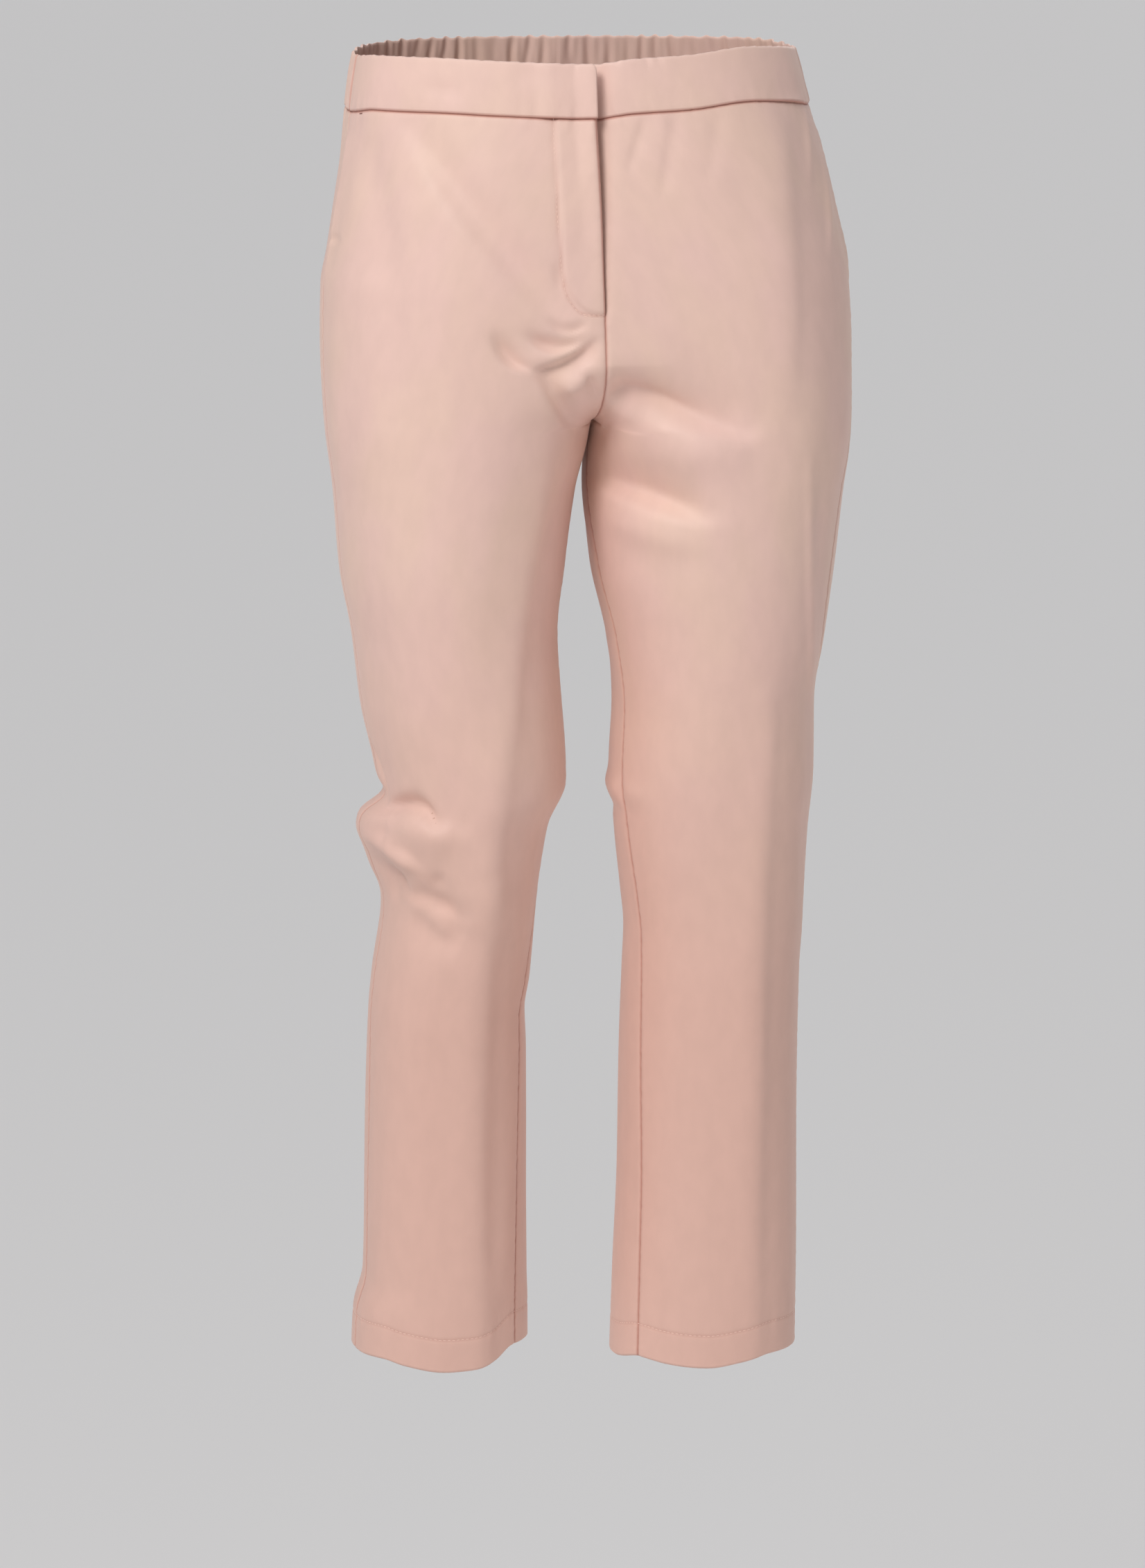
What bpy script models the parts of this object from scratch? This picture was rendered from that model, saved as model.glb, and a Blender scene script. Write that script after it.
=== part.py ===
"""Cropped cotton-sateen chinos in their worn, hollow form.

Metres, +Z up. The front faces -Y and the wearer's right is -X. The origin is the
centre of the waist opening, level with the top of the waistband.
Every piece is a cloth wall that follows one surface: half of the garment is a
stack of level outlines, each made of four arcs, and a panel is a stretch of
those outlines between two seams.
"""
import math
from collections import namedtuple

import bpy
import numpy as np

# ---- driving sizes ---------------------------------------------------------------
CLOTH = 0.0014            # thickness of one panel wall
SEAM_GAP = 0.0003         # space kept between two pieces that meet
BAND_HEIGHT = 0.036       # waistband, top edge to waist seam
BAND_CLOTH = 0.0020       # the waistband is two layers and its turnings
BAND_PROUD = 0.0006       # the waistband stands this far outside the panels
CROTCH_Z = -0.2525
CROTCH_Y = -0.006
HEM_Z = -0.921
HEM_DEPTH = 0.022         # turn-up inside each leg
HEM_CLOTH = 0.0010

FRONT_RISE_DROP = 0.056   # height over which the front rise turns under
BACK_RISE_DROP = 0.085    # the same for the back rise, which is the longer curve
ARC_POWER = 2.12          # outer arcs, a little squarer than an ellipse

FLY_WIDTH = 0.028
FLY_END_Z = -0.172        # foot of the fly, on the centre front
FLY_CORNER = 0.030        # the foot rises this much at the fly's far edge
FLY_LIFT = 0.0016         # the fly laps over the zip, so it lies this far out
ZIP_ROWS = 6              # panel rows that the zip and its shield run down
ZIP_CLOTH = 0.0012
SHIELD_CLOTH = 0.0010
FLY_COLUMNS = [0, 0.010, 0.0215, FLY_WIDTH]   # panel columns beside the centre front
UNDERLAP = FLY_WIDTH      # left waistband end below the right one
FLY_EASE = 0.070          # height over which the columns turn into the fly's
LAP_BLEND = 0.014         # length over which the right end rises over the underlap

GATHER_WAVES = 36         # puckers in the elasticated back waistband
GATHER_DEPTHS = [0.0009, 0.0006, 0.0007]      # at its top edge, middle and seam
GATHER_PHASE = 0.4        # keeps the puckers' points off their zero crossings

FACING_CLOTH = 0.0010     # the strip behind each pocket mouth
FACING_ROWS = slice(1, 7)  # panel rows that a pocket mouth runs down

FRONT_COLUMNS = (6, 9)    # front panel: from the rise to the front crease, then on
BACK_COLUMNS = (6, 6)     # back panel: from the side seam to the back crease, then on
TRUNK_ROWS = 12
BEND_ROWS = 5             # trunk rows that end on the curved stretch of the rise
KNEE_TOP, KNEE_FOOT = -0.480, -0.625
THIGH_ROWS, KNEE_ROWS, SHIN_ROWS = 9, 12, 7
WAIST_LIFT_REACH = 0.126  # the waist's lift fades out by this depth
HEM_LIFT_REACH = 0.061    # and the hem's by this height above the hem
LEVEL_BACK = (-0.02, 0.10)  # y over which a lifted front turns into a level back
FLY_ROLL = 0.007          # the fly rises over this length at its side and its foot
FOLD_TURN = 0.45          # a fold is at full height where the cloth faces its side this much
FOLD_BREADTH = (1.15, 0.5)  # a fold's breadth at its middle, and how much its ends lose
SEAM_LIMIT = 0.985        # share of the inner arcs' depth that an inseam can reach
ARC_STEPS = 40            # points along each arc before a row is divided evenly
FRONT_CREASE = ARC_STEPS - 1          # index of an outline's foremost point
BACK_CREASE = 3 * ARC_STEPS - 3       # and of its hindmost one

PINK = (0.80, 0.56, 0.47)
PINK_INSIDE = (0.70, 0.47, 0.39)
TAPE_PINK = (0.72, 0.50, 0.42)

# ---- level outlines --------------------------------------------------------------
# z: level. inner: centre plane above the crotch, nearest point to the other leg
# below it. outer: side. lean: how far from inner (0) to outer (1) the arcs' middle
# lies. mid_y: where the outline is widest. front, back: foremost and hindmost y.
# side_seam, inseam: y at which those two seams cross the level.
Level = namedtuple("Level", "z inner outer lean mid_y front back side_seam inseam")

RIGHT_LEVELS = [
    Level(0.010, 0.0020, -0.1480, 0.12, 0.000, -0.0985, 0.097, -0.012, -0.006),
    Level(-0.036, 0.0025, -0.1550, 0.18, 0.000, -0.1030, 0.103, -0.012, -0.006),
    Level(-0.070, 0.0040, -0.1590, 0.26, 0.002, -0.1070, 0.111, -0.012, -0.006),
    Level(-0.110, 0.0060, -0.1650, 0.34, 0.004, -0.1100, 0.121, -0.010, -0.006),
    Level(-0.136, 0.0070, -0.1692, 0.37, 0.004, -0.1110, 0.126, -0.010, -0.006),
    Level(-0.160, 0.0080, -0.1735, 0.40, 0.004, -0.1115, 0.129, -0.010, -0.006),
    Level(-0.200, 0.0095, -0.1742, 0.44, 0.000, -0.1110, 0.129, -0.012, -0.006),
    Level(-0.2525, 0.0105, -0.1725, 0.47, -0.006, -0.1100, 0.122, -0.016, -0.006),
    Level(-0.300, 0.0002, -0.1670, 0.49, -0.004, -0.1080, 0.108, -0.016, -0.016),
    Level(-0.355, -0.0070, -0.1630, 0.50, -0.003, -0.1050, 0.097, -0.015, -0.024),
    Level(-0.400, -0.0118, -0.1550, 0.50, -0.003, -0.1010, 0.088, -0.015, -0.018),
    Level(-0.450, -0.0090, -0.1490, 0.50, -0.004, -0.0980, 0.079, -0.015, -0.018),
    Level(-0.505, -0.0062, -0.1385, 0.50, -0.006, -0.0950, 0.072, -0.016, -0.020),
    Level(-0.535, -0.0185, -0.1375, 0.50, -0.006, -0.0910, 0.068, -0.015, -0.014),
    Level(-0.550, -0.0215, -0.1375, 0.50, -0.005, -0.0895, 0.068, -0.015, -0.016),
    Level(-0.590, -0.0268, -0.1352, 0.50, -0.003, -0.0830, 0.067, -0.013, -0.026),
    Level(-0.645, -0.0310, -0.1422, 0.50, 0.000, -0.0750, 0.069, -0.011, -0.035),
    Level(-0.670, -0.0345, -0.1445, 0.50, 0.000, -0.0730, 0.070, -0.010, -0.036),
    Level(-0.700, -0.0335, -0.1457, 0.50, 0.001, -0.0700, 0.070, -0.010, -0.036),
    Level(-0.790, -0.0335, -0.1482, 0.50, 0.002, -0.0650, 0.069, -0.009, -0.036),
    Level(-0.860, -0.0335, -0.1500, 0.50, 0.002, -0.0635, 0.067, -0.009, -0.037),
    Level(-0.895, -0.0330, -0.1570, 0.50, 0.002, -0.0632, 0.066, -0.009, -0.037),
    Level(-0.930, -0.0330, -0.1590, 0.50, 0.001, -0.0630, 0.065, -0.010, -0.037),
]
LEFT_LEVELS = [
    Level(0.010, 0.0020, 0.1490, 0.12, 0.000, -0.0985, 0.097, -0.012, -0.006),
    Level(-0.036, 0.0025, 0.1625, 0.18, 0.000, -0.1030, 0.103, -0.012, -0.006),
    Level(-0.070, 0.0040, 0.1720, 0.26, 0.002, -0.1070, 0.111, -0.014, -0.006),
    Level(-0.110, 0.0060, 0.1815, 0.34, 0.004, -0.1100, 0.121, -0.016, -0.006),
    Level(-0.155, 0.0080, 0.1908, 0.40, 0.004, -0.1115, 0.129, -0.018, -0.006),
    Level(-0.200, 0.0095, 0.1930, 0.44, 0.000, -0.1110, 0.129, -0.022, -0.006),
    Level(-0.2525, 0.0105, 0.1928, 0.47, -0.006, -0.1100, 0.122, -0.034, -0.006),
    Level(-0.275, 0.0085, 0.1915, 0.48, -0.005, -0.1090, 0.115, -0.040, -0.011),
    Level(-0.300, 0.0072, 0.1880, 0.49, -0.004, -0.1080, 0.108, -0.046, -0.016),
    Level(-0.355, 0.0125, 0.1822, 0.50, -0.003, -0.1030, 0.097, -0.050, -0.026),
    Level(-0.405, 0.0235, 0.1755, 0.50, -0.003, -0.0975, 0.088, -0.044, -0.030),
    Level(-0.450, 0.0282, 0.1685, 0.50, -0.003, -0.0925, 0.079, -0.018, -0.032),
    Level(-0.500, 0.0258, 0.1688, 0.50, -0.003, -0.0870, 0.072, -0.014, -0.033),
    Level(-0.545, 0.0292, 0.1655, 0.50, -0.002, -0.0810, 0.067, -0.013, -0.034),
    Level(-0.590, 0.0345, 0.1638, 0.50, 0.000, -0.0760, 0.067, -0.012, -0.034),
    Level(-0.615, 0.0368, 0.1628, 0.50, 0.000, -0.0740, 0.068, -0.012, -0.034),
    Level(-0.645, 0.0358, 0.1610, 0.50, 0.001, -0.0720, 0.069, -0.011, -0.035),
    Level(-0.700, 0.0340, 0.1602, 0.50, 0.001, -0.0690, 0.070, -0.010, -0.036),
    Level(-0.790, 0.0325, 0.1608, 0.50, 0.002, -0.0660, 0.069, -0.009, -0.037),
    Level(-0.860, 0.0297, 0.1612, 0.50, 0.002, -0.0650, 0.067, -0.009, -0.038),
    Level(-0.930, 0.0272, 0.1606, 0.50, 0.001, -0.0640, 0.065, -0.010, -0.039),
]

# Neither the waist nor a hem is quite level: how far its front is lifted, by x.
Lift = namedtuple("Lift", "x rise")
WAIST_LIFT = [
    Lift(-0.155, -0.0050), Lift(-0.140, -0.0016), Lift(-0.110, -0.0014), Lift(-0.060, -0.0032),
    Lift(0.002, -0.0054), Lift(0.028, -0.0022), Lift(0.068, 0.0001), Lift(0.110, 0.0044),
    Lift(0.138, 0.0028), Lift(0.158, -0.0015),
]
WAIST_BACK_LIFT = 0.003   # the waist's back is level
RIGHT_HEM_LIFT = [
    Lift(-0.158, 0.0062), Lift(-0.141, 0.0078), Lift(-0.127, 0.0050), Lift(-0.096, 0.0012),
    Lift(-0.077, 0.0020), Lift(-0.061, 0.0057), Lift(-0.047, 0.0128), Lift(-0.033, 0.0105),
]
LEFT_HEM_LIFT = [
    Lift(0.027, -0.0065), Lift(0.042, 0.0008), Lift(0.060, -0.0010), Lift(0.090, -0.0025),
    Lift(0.113, 0.0004), Lift(0.135, 0.0032), Lift(0.160, 0.0012),
]

# ---- folds -----------------------------------------------------------------------
# seen: the side that a fold is seen from. a0, z0 to a1, z1: its two ends, where a is
# x for front and back and y for outer and inner. width: half its breadth. height:
# how far it stands out of the leg (negative for a trough).
Fold = namedtuple("Fold", "seen a0 z0 a1 z1 width height")

RIGHT_FOLDS = [
    Fold("outer", -0.048, -0.537, 0.036, -0.543, 0.0135, 0.0158),   # knee roll
    Fold("outer", -0.030, -0.519, 0.040, -0.520, 0.009, -0.0055),   # notch over it
    Fold("outer", -0.030, -0.566, 0.040, -0.568, 0.012, 0.0030),
    Fold("front", -0.128, -0.527, -0.092, -0.535, 0.013, 0.0060),   # roll turns front
    Fold("front", -0.120, -0.590, -0.085, -0.606, 0.015, -0.0045),  # trough below
    Fold("front", -0.070, -0.560, -0.050, -0.610, 0.016, 0.0030),
    Fold("front", -0.060, -0.180, -0.030, -0.214, 0.010, -0.0035),  # crotch drag line
    Fold("front", -0.050, -0.205, 0.000, -0.196, 0.008, 0.0025),
    Fold("front", -0.085, -0.075, -0.035, -0.160, 0.012, -0.0020),
    Fold("front", -0.030, -0.300, -0.060, -0.460, 0.020, -0.0030),  # inside thigh
    Fold("back", -0.120, -0.285, -0.035, -0.262, 0.012, -0.0050),   # under the seat
    Fold("back", -0.130, -0.310, -0.050, -0.300, 0.010, 0.0030),
    Fold("back", -0.120, -0.505, -0.040, -0.515, 0.011, -0.0055),   # back of the knee
    Fold("back", -0.125, -0.545, -0.035, -0.538, 0.011, 0.0045),
    Fold("back", -0.110, -0.575, -0.045, -0.585, 0.010, -0.0040),
]
LEFT_FOLDS = [
    Fold("front", 0.020, -0.216, 0.098, -0.236, 0.011, -0.0055),    # thigh drag fold
    Fold("front", 0.030, -0.240, 0.080, -0.254, 0.013, 0.0040),
    Fold("front", 0.036, -0.286, 0.078, -0.296, 0.013, -0.0040),
    Fold("front", 0.060, -0.192, 0.112, -0.226, 0.012, -0.0020),
    Fold("outer", -0.010, -0.452, 0.050, -0.440, 0.010, -0.0030),   # kink at the side
    Fold("inner", -0.050, -0.512, 0.030, -0.512, 0.008, 0.0030),
    Fold("front", 0.122, -0.500, 0.116, -0.800, 0.020, 0.0025),
    Fold("back", 0.035, -0.262, 0.130, -0.288, 0.012, -0.0050),
    Fold("back", 0.050, -0.300, 0.140, -0.313, 0.010, 0.0030),
    Fold("back", 0.050, -0.520, 0.140, -0.508, 0.011, -0.0050),
    Fold("back", 0.045, -0.548, 0.145, -0.545, 0.011, 0.0040),
    Fold("back", 0.055, -0.588, 0.130, -0.580, 0.010, -0.0035),
]


class Half:
    """One side of the garment: its sign in x, its levels and its folds."""

    def __init__(self, sign, levels, folds, hem_lift):
        self.sign = sign
        self.levels = np.array(levels)[::-1]
        self.folds = folds
        self.hem_lift = hem_lift

    def at(self, z):
        """The level's columns at any height, on smooth curves through the table."""
        heights = self.levels[:, 0]
        columns = [steady_curve(heights, self.levels[:, k], z) for k in range(1, 9)]
        return Level(z, *columns)


def steady_curve(xs, ys, x):
    """A smooth curve through a table that never swings past its values."""
    steps = np.diff(ys) / np.diff(xs)
    slopes = np.zeros(len(xs))
    same_way = steps[1:] * steps[:-1] > 0
    both = steps[1:] + steps[:-1]
    slopes[1:-1] = np.where(same_way, 2 * steps[1:] * steps[:-1] / np.where(both, both, 1), 0)
    slopes[0], slopes[-1] = steps[0], steps[-1]
    x = min(max(x, xs[0]), xs[-1])
    k = min(int(np.searchsorted(xs, x, side="right")) - 1, len(xs) - 2)
    width = xs[k + 1] - xs[k]
    t = (x - xs[k]) / width
    return (ys[k] * (1 + 2 * t) * (1 - t) ** 2 + slopes[k] * width * t * (1 - t) ** 2
            + ys[k + 1] * t * t * (3 - 2 * t) + slopes[k + 1] * width * t * t * (t - 1))


def ease(value):
    """0 below 0, 1 above 1, and a smooth step between."""
    t = np.clip(value, 0.0, 1.0)
    return t * t * (3 - 2 * t)


def rise_y(level, drop, extreme):
    """y of the rise seam at a level, on its curve down to the crotch."""
    fall = min(1.0, max(0.0, (level.z - CROTCH_Z) / drop))
    return CROTCH_Y + (extreme - CROTCH_Y) * math.sqrt(1 - (1 - fall) ** 2)


def arc(level, half, angles, reach, power, inward):
    """Points of one arc: 0 degrees is the widest point, 90 the back, -90 the front."""
    across = np.abs(np.cos(angles)) ** (2 / power)
    along = np.abs(np.sin(angles)) ** (2 / power)
    depth = np.where(angles < 0, level.front - level.mid_y, level.back - level.mid_y)
    middle = level.inner + level.lean * (level.outer - level.inner)
    side = -half.sign if inward else half.sign
    return np.stack([middle + side * reach * across, level.mid_y + depth * along], axis=1)


def seam_angle(y, level):
    """The angle on the inner arcs at which a seam lies."""
    depth = (level.front if y < level.mid_y else level.back) - level.mid_y
    angle = math.asin(min(SEAM_LIMIT, abs((y - level.mid_y) / depth)))
    return -angle if y < level.mid_y else angle


def outline(half, z):
    """One level: x, y from the rise seam or inseam, by the front, round to it again."""
    level = half.at(z)
    across = abs(level.outer - level.inner)
    outward, inward = across * (1 - level.lean), across * level.lean
    quarter = math.pi / 2
    if z > CROTCH_Z:
        start = seam_angle(rise_y(level, FRONT_RISE_DROP, level.front), level)
        end = seam_angle(rise_y(level, BACK_RISE_DROP, level.back), level)
    else:
        start = end = seam_angle(level.inseam, level)
    front_reach, back_reach = inward, inward
    if z > CROTCH_Z:
        front_reach, back_reach = inward / math.cos(start), inward / math.cos(end)
    front_inner = np.linspace(start, -quarter, ARC_STEPS)
    front_outer = np.linspace(-quarter, 0, ARC_STEPS)[1:]
    back_outer = np.linspace(0, quarter, ARC_STEPS)[1:]
    back_inner = np.linspace(quarter, end, 2 * ARC_STEPS)[1:]
    return np.concatenate([
        arc(level, half, front_inner, front_reach, 2, True),
        arc(level, half, front_outer, outward, ARC_POWER, False),
        arc(level, half, back_outer, outward, ARC_POWER, False),
        arc(level, half, back_inner, back_reach, 2, True)])


def fold_height(half, points, facing, z):
    """How far all folds together move each point of a level along its facing."""
    moved = np.zeros(len(points))
    for fold in half.folds:
        along_x = fold.seen in ("front", "back")
        place = points[:, 0] if along_x else points[:, 1]
        look = {"front": -facing[:, 1], "back": facing[:, 1],
                "outer": half.sign * facing[:, 0], "inner": -half.sign * facing[:, 0]}
        run = np.array([fold.a1 - fold.a0, fold.z1 - fold.z0])
        length = np.hypot(*run)
        away_a, away_z = place - fold.a0, z - fold.z0
        share = (away_a * run[0] + away_z * run[1]) / length ** 2
        beside = (away_a * run[1] - away_z * run[0]) / length
        past = np.maximum(0, np.abs(share - 0.5) - 0.5) * length
        taper = FOLD_BREADTH[1] * np.abs(np.clip(share, 0, 1) - 0.5)
        breadth = fold.width * (FOLD_BREADTH[0] - taper)
        spread = (beside ** 2 + past ** 2) / breadth ** 2
        moved += fold.height * np.exp(-spread) * ease(look[fold.seen] / FOLD_TURN)
    return moved


def fly_lift(half, points, z):
    """The right front lies further out over the zip, inside the fly's curved foot."""
    if half.sign > 0:
        return np.zeros(len(points))
    from_centre = half.at(z).inner - points[:, 0]
    foot = FLY_END_Z + FLY_CORNER * np.clip(from_centre / FLY_WIDTH, 0, 1) ** 3
    in_front = points[:, 1] < 0
    inside = ease((FLY_WIDTH - from_centre) / FLY_ROLL) * ease((z - foot) / FLY_ROLL)
    return FLY_LIFT * in_front * inside


def lift(table, points, level_back):
    """The lift of each point by its x, eased into a level back."""
    xs, rises = np.array(table).T
    front = np.array([steady_curve(xs, rises, x) for x in points[:, 0]])
    start, end = LEVEL_BACK
    return front + (level_back - front) * ease((points[:, 1] - start) / (end - start))


def surface(half, z):
    """The outer cloth surface at a level, as a row of points in space."""
    points = outline(half, z)
    tangent = np.gradient(points, axis=0)
    facing = half.sign * np.stack([tangent[:, 1], -tangent[:, 0]], axis=1)
    facing /= np.linalg.norm(facing, axis=1)[:, None]
    out = fold_height(half, points, facing, z) + fly_lift(half, points, z)
    height = np.full(len(points), float(z))
    if z > -WAIST_LIFT_REACH:
        share = ease((z + WAIST_LIFT_REACH) / (WAIST_LIFT_REACH - BAND_HEIGHT))
        height += lift(WAIST_LIFT, points, WAIST_BACK_LIFT) * share
    if z < HEM_Z + HEM_LIFT_REACH:
        share = ease((HEM_Z + HEM_LIFT_REACH - z) / (HEM_LIFT_REACH - HEM_DEPTH))
        height += lift(half.hem_lift, points, 0.0) * share
    return np.column_stack([points + facing * out[:, None], height])


def skin(half, levels):
    """Rows of points with the direction that the cloth faces at each of them."""
    rows = []
    facings = []
    near = 0.0006
    for z in levels:
        row, above, below = (surface(half, height) for height in (z, z + near, z - near))
        facing = half.sign * np.cross(np.gradient(row, axis=0), above - below)
        rows.append(row)
        facings.append(facing / np.linalg.norm(facing, axis=1)[:, None])
    return rows, facings


def side_seam_index(half, z):
    """Place of the side seam among a level's points, as a fractional index."""
    seam = half.at(z).side_seam
    first, last = FRONT_CREASE, BACK_CREASE
    ys = outline(half, z)[first:last + 1, 1]
    k = int(np.searchsorted(ys, seam))
    share = (seam - ys[k - 1]) / (ys[k] - ys[k - 1])
    return first + k - 1 + share


def row_places(row, seam, panel, z):
    """Distances of a panel's columns along a row; the fly has columns of its own."""
    steps = np.linalg.norm(np.diff(row, axis=0), axis=1)
    lengths = np.concatenate([[0], np.cumsum(steps)])
    ends = (0, FRONT_CREASE, seam) if panel == "front" else (seam, BACK_CREASE, len(row) - 1)
    first, middle, last = np.interp(ends, np.arange(len(row)), lengths)
    first, last = first + SEAM_GAP / 2, last - SEAM_GAP / 2
    near, far = FRONT_COLUMNS if panel == "front" else BACK_COLUMNS
    places = np.concatenate([np.linspace(first, middle, near + 1),
                             np.linspace(middle, last, far + 1)[1:]])
    if panel == "front":
        beside = np.linspace(FLY_WIDTH, last, near + far + 2 - len(FLY_COLUMNS))
        with_fly = np.concatenate([FLY_COLUMNS, beside[1:]])
        with_fly[0] = first
        places += (with_fly - places) * ease((z - CROTCH_Z) / FLY_EASE)
    return places, lengths


def panel_heights(panel):
    """z of the panel rows at the side and at the rise; they fan out round the crotch."""
    top = -BAND_HEIGHT - SEAM_GAP / 2
    drop = FRONT_RISE_DROP if panel == "front" else BACK_RISE_DROP
    trunk_side = np.linspace(top, CROTCH_Z, TRUNK_ROWS + 1)[:-1]
    bend = CROTCH_Z + drop * (1 - np.cos(np.arange(BEND_ROWS, 0, -1) * math.pi / 2 / BEND_ROWS))
    straight = np.linspace(top, CROTCH_Z + drop, TRUNK_ROWS - BEND_ROWS + 1)[:-1]
    trunk_rise = np.concatenate([straight, bend])
    leg = np.concatenate([np.linspace(CROTCH_Z, KNEE_TOP, THIGH_ROWS + 1),
                          np.linspace(KNEE_TOP, KNEE_FOOT, KNEE_ROWS + 1)[1:],
                          np.linspace(KNEE_FOOT, HEM_Z + HEM_DEPTH, SHIN_ROWS + 1)[1:],
                          [HEM_Z]])
    return np.concatenate([trunk_side, leg]), np.concatenate([trunk_rise, leg])


def panel_grid(half, panel, heights, split=1):
    """Points and facings of a panel: 'front' from the rise to the side seam, or 'back'.

    heights are the rows' z at the side and at the rise; split divides each column.
    """
    near, far = FRONT_COLUMNS if panel == "front" else BACK_COLUMNS
    columns = np.arange(split * (near + far) + 1) / split
    if panel == "front":
        to_rise = np.clip(1 - columns / near, 0, 1)
    else:
        to_rise = np.clip((columns - near) / far, 0, 1)
    points = np.zeros((len(heights[0]), len(columns), 3))
    faces = points.copy()
    for i, (side_z, rise_z) in enumerate(zip(*heights)):
        zs = side_z + (rise_z - side_z) * to_rise
        for z in np.unique(zs):
            (row,), (facing,) = skin(half, [z])
            places, lengths = row_places(row, side_seam_index(half, z), panel, z)
            here = zs == z
            at = np.interp(columns[here], np.arange(near + far + 1), places)
            for k in range(3):
                points[i, here, k] = np.interp(at, lengths, row[:, k])
                faces[i, here, k] = np.interp(at, lengths, facing[:, k])
        # Split columns keep the panel's own straight edges in height, to fit its seam.
        points[i, :, 2] = np.interp(columns, columns[::split], points[i, ::split, 2])
        if side_z > -BAND_HEIGHT - SEAM_GAP:
            faces[i, :, 2] = 0.0      # level rims, so that panel and waistband meet evenly
    return points, faces / np.linalg.norm(faces, axis=2)[:, :, None]


def wall(name, outer, inner, colour, turned):
    """A closed wall between two grids of points, as one object."""
    rows, columns = outer.shape[:2]
    count = rows * columns
    points = np.concatenate([outer.reshape(-1, 3), inner.reshape(-1, 3)])
    faces = []
    for i in range(rows - 1):
        for j in range(columns - 1):
            a, b = i * columns + j, i * columns + j + 1
            c, d = b + columns, a + columns
            faces += [(a, d, c), (a, c, b)]
            faces += [(count + a, count + c, count + d), (count + a, count + b, count + c)]
    rim = [j for j in range(columns)]
    rim += [i * columns + columns - 1 for i in range(1, rows)]
    rim += [(rows - 1) * columns + j for j in range(columns - 2, -1, -1)]
    rim += [i * columns for i in range(rows - 2, 0, -1)]
    for a, b in zip(rim, rim[1:] + rim[:1]):
        faces += [(a, b, count + b), (a, count + b, count + a)]
    if turned:
        faces = [face[::-1] for face in faces]
    return add_object(name, points, faces, colour)


def ring_wall(name, outer, inner, colour, turned):
    """A closed tube wall: each grid row runs round and joins its own start."""
    rows, columns = outer.shape[:2]
    count = rows * columns
    points = np.concatenate([outer.reshape(-1, 3), inner.reshape(-1, 3)])
    faces = []
    for i in range(rows):
        for j in range(columns):
            a, b = i * columns + j, i * columns + (j + 1) % columns
            if i < rows - 1:
                c, d = b + columns, a + columns
                faces += [(a, d, c), (a, c, b)]
                faces += [(count + a, count + c, count + d), (count + a, count + b, count + c)]
            if i == 0:
                faces += [(a, b, count + b), (a, count + b, count + a)]
            if i == rows - 1:
                faces += [(b, a, count + a), (b, count + a, count + b)]
    if turned:
        faces = [face[::-1] for face in faces]
    return add_object(name, points, faces, colour)


def add_object(name, points, faces, colour):
    mesh = bpy.data.meshes.new(name)
    mesh.from_pydata(points.tolist(), [], faces)
    mesh.shade_smooth()
    mesh.set_sharp_from_angle(angle=math.radians(50))
    material = bpy.data.materials.new(name)
    material.use_nodes = True
    shader = material.node_tree.nodes["Principled BSDF"]
    shader.inputs["Base Color"].default_value = (*colour, 1)
    shader.inputs["Roughness"].default_value = 0.6
    shader.inputs["Metallic"].default_value = 0.0
    mesh.materials.append(material)
    made = bpy.data.objects.new(name, mesh)
    bpy.context.scene.collection.objects.link(made)
    return made


def layer(name, grid, out, thick, colour, turned):
    """A wall whose outer side lies a distance out from a grid of points and facings."""
    points, faces = grid
    outer = points + faces * out
    return wall(name, outer, outer - faces * thick, colour, turned)


def cut_out(grid, rows, columns):
    return grid[0][rows, columns], grid[1][rows, columns]


def side_by_side(first, second):
    return tuple(np.concatenate([a, b], axis=1) for a, b in zip(first, second))


def build_leg(half, side):
    """Front and back panel, the hem turned up inside them and the pocket's facing."""
    turned = half.sign < 0
    front = panel_grid(half, "front", panel_heights("front"))
    back = panel_grid(half, "back", panel_heights("back"))
    layer(f"front_{side}", front, 0, CLOTH, PINK, turned)
    layer(f"back_{side}", back, 0, CLOTH, PINK, turned)

    under = -CLOTH - SEAM_GAP
    foot = slice(-2, None)
    points, faces = side_by_side(cut_out(front, foot, slice(None)),
                                 cut_out(back, foot, slice(1, -1)))
    outer = points + faces * under
    ring_wall(f"hem_{side}", outer, outer - faces * HEM_CLOTH, PINK_INSIDE, turned)

    facing = side_by_side(cut_out(front, FACING_ROWS, slice(-3, None)),
                          cut_out(back, FACING_ROWS, slice(1, 2)))
    layer(f"pocket_facing_{side}", facing, under, FACING_CLOTH, PINK_INSIDE, turned)


def band_heights():
    rows = [0.0, -BAND_HEIGHT / 2, -BAND_HEIGHT + SEAM_GAP / 2]
    return rows, rows


def build_front_bands(right, left):
    """Flat front waistband; its right end rises and laps over the left one's tail."""
    points, faces = panel_grid(right, "front", band_heights())
    reach = right.at(-BAND_HEIGHT).inner - points[:, :, 0]
    lapped = ease((UNDERLAP + LAP_BLEND - reach) / LAP_BLEND)
    outer = points + faces * (BAND_PROUD + (BAND_CLOTH + SEAM_GAP) * lapped)[:, :, None]
    wall("band_front_right", outer, outer - faces * BAND_CLOTH, PINK, True)

    tail = slice(len(FLY_COLUMNS) - 1, None, -1)
    whole = side_by_side(cut_out((points, faces), slice(None), tail),
                         panel_grid(left, "front", band_heights()))
    layer("band_front_left", whole, BAND_PROUD, BAND_CLOTH, PINK, False)


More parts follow.
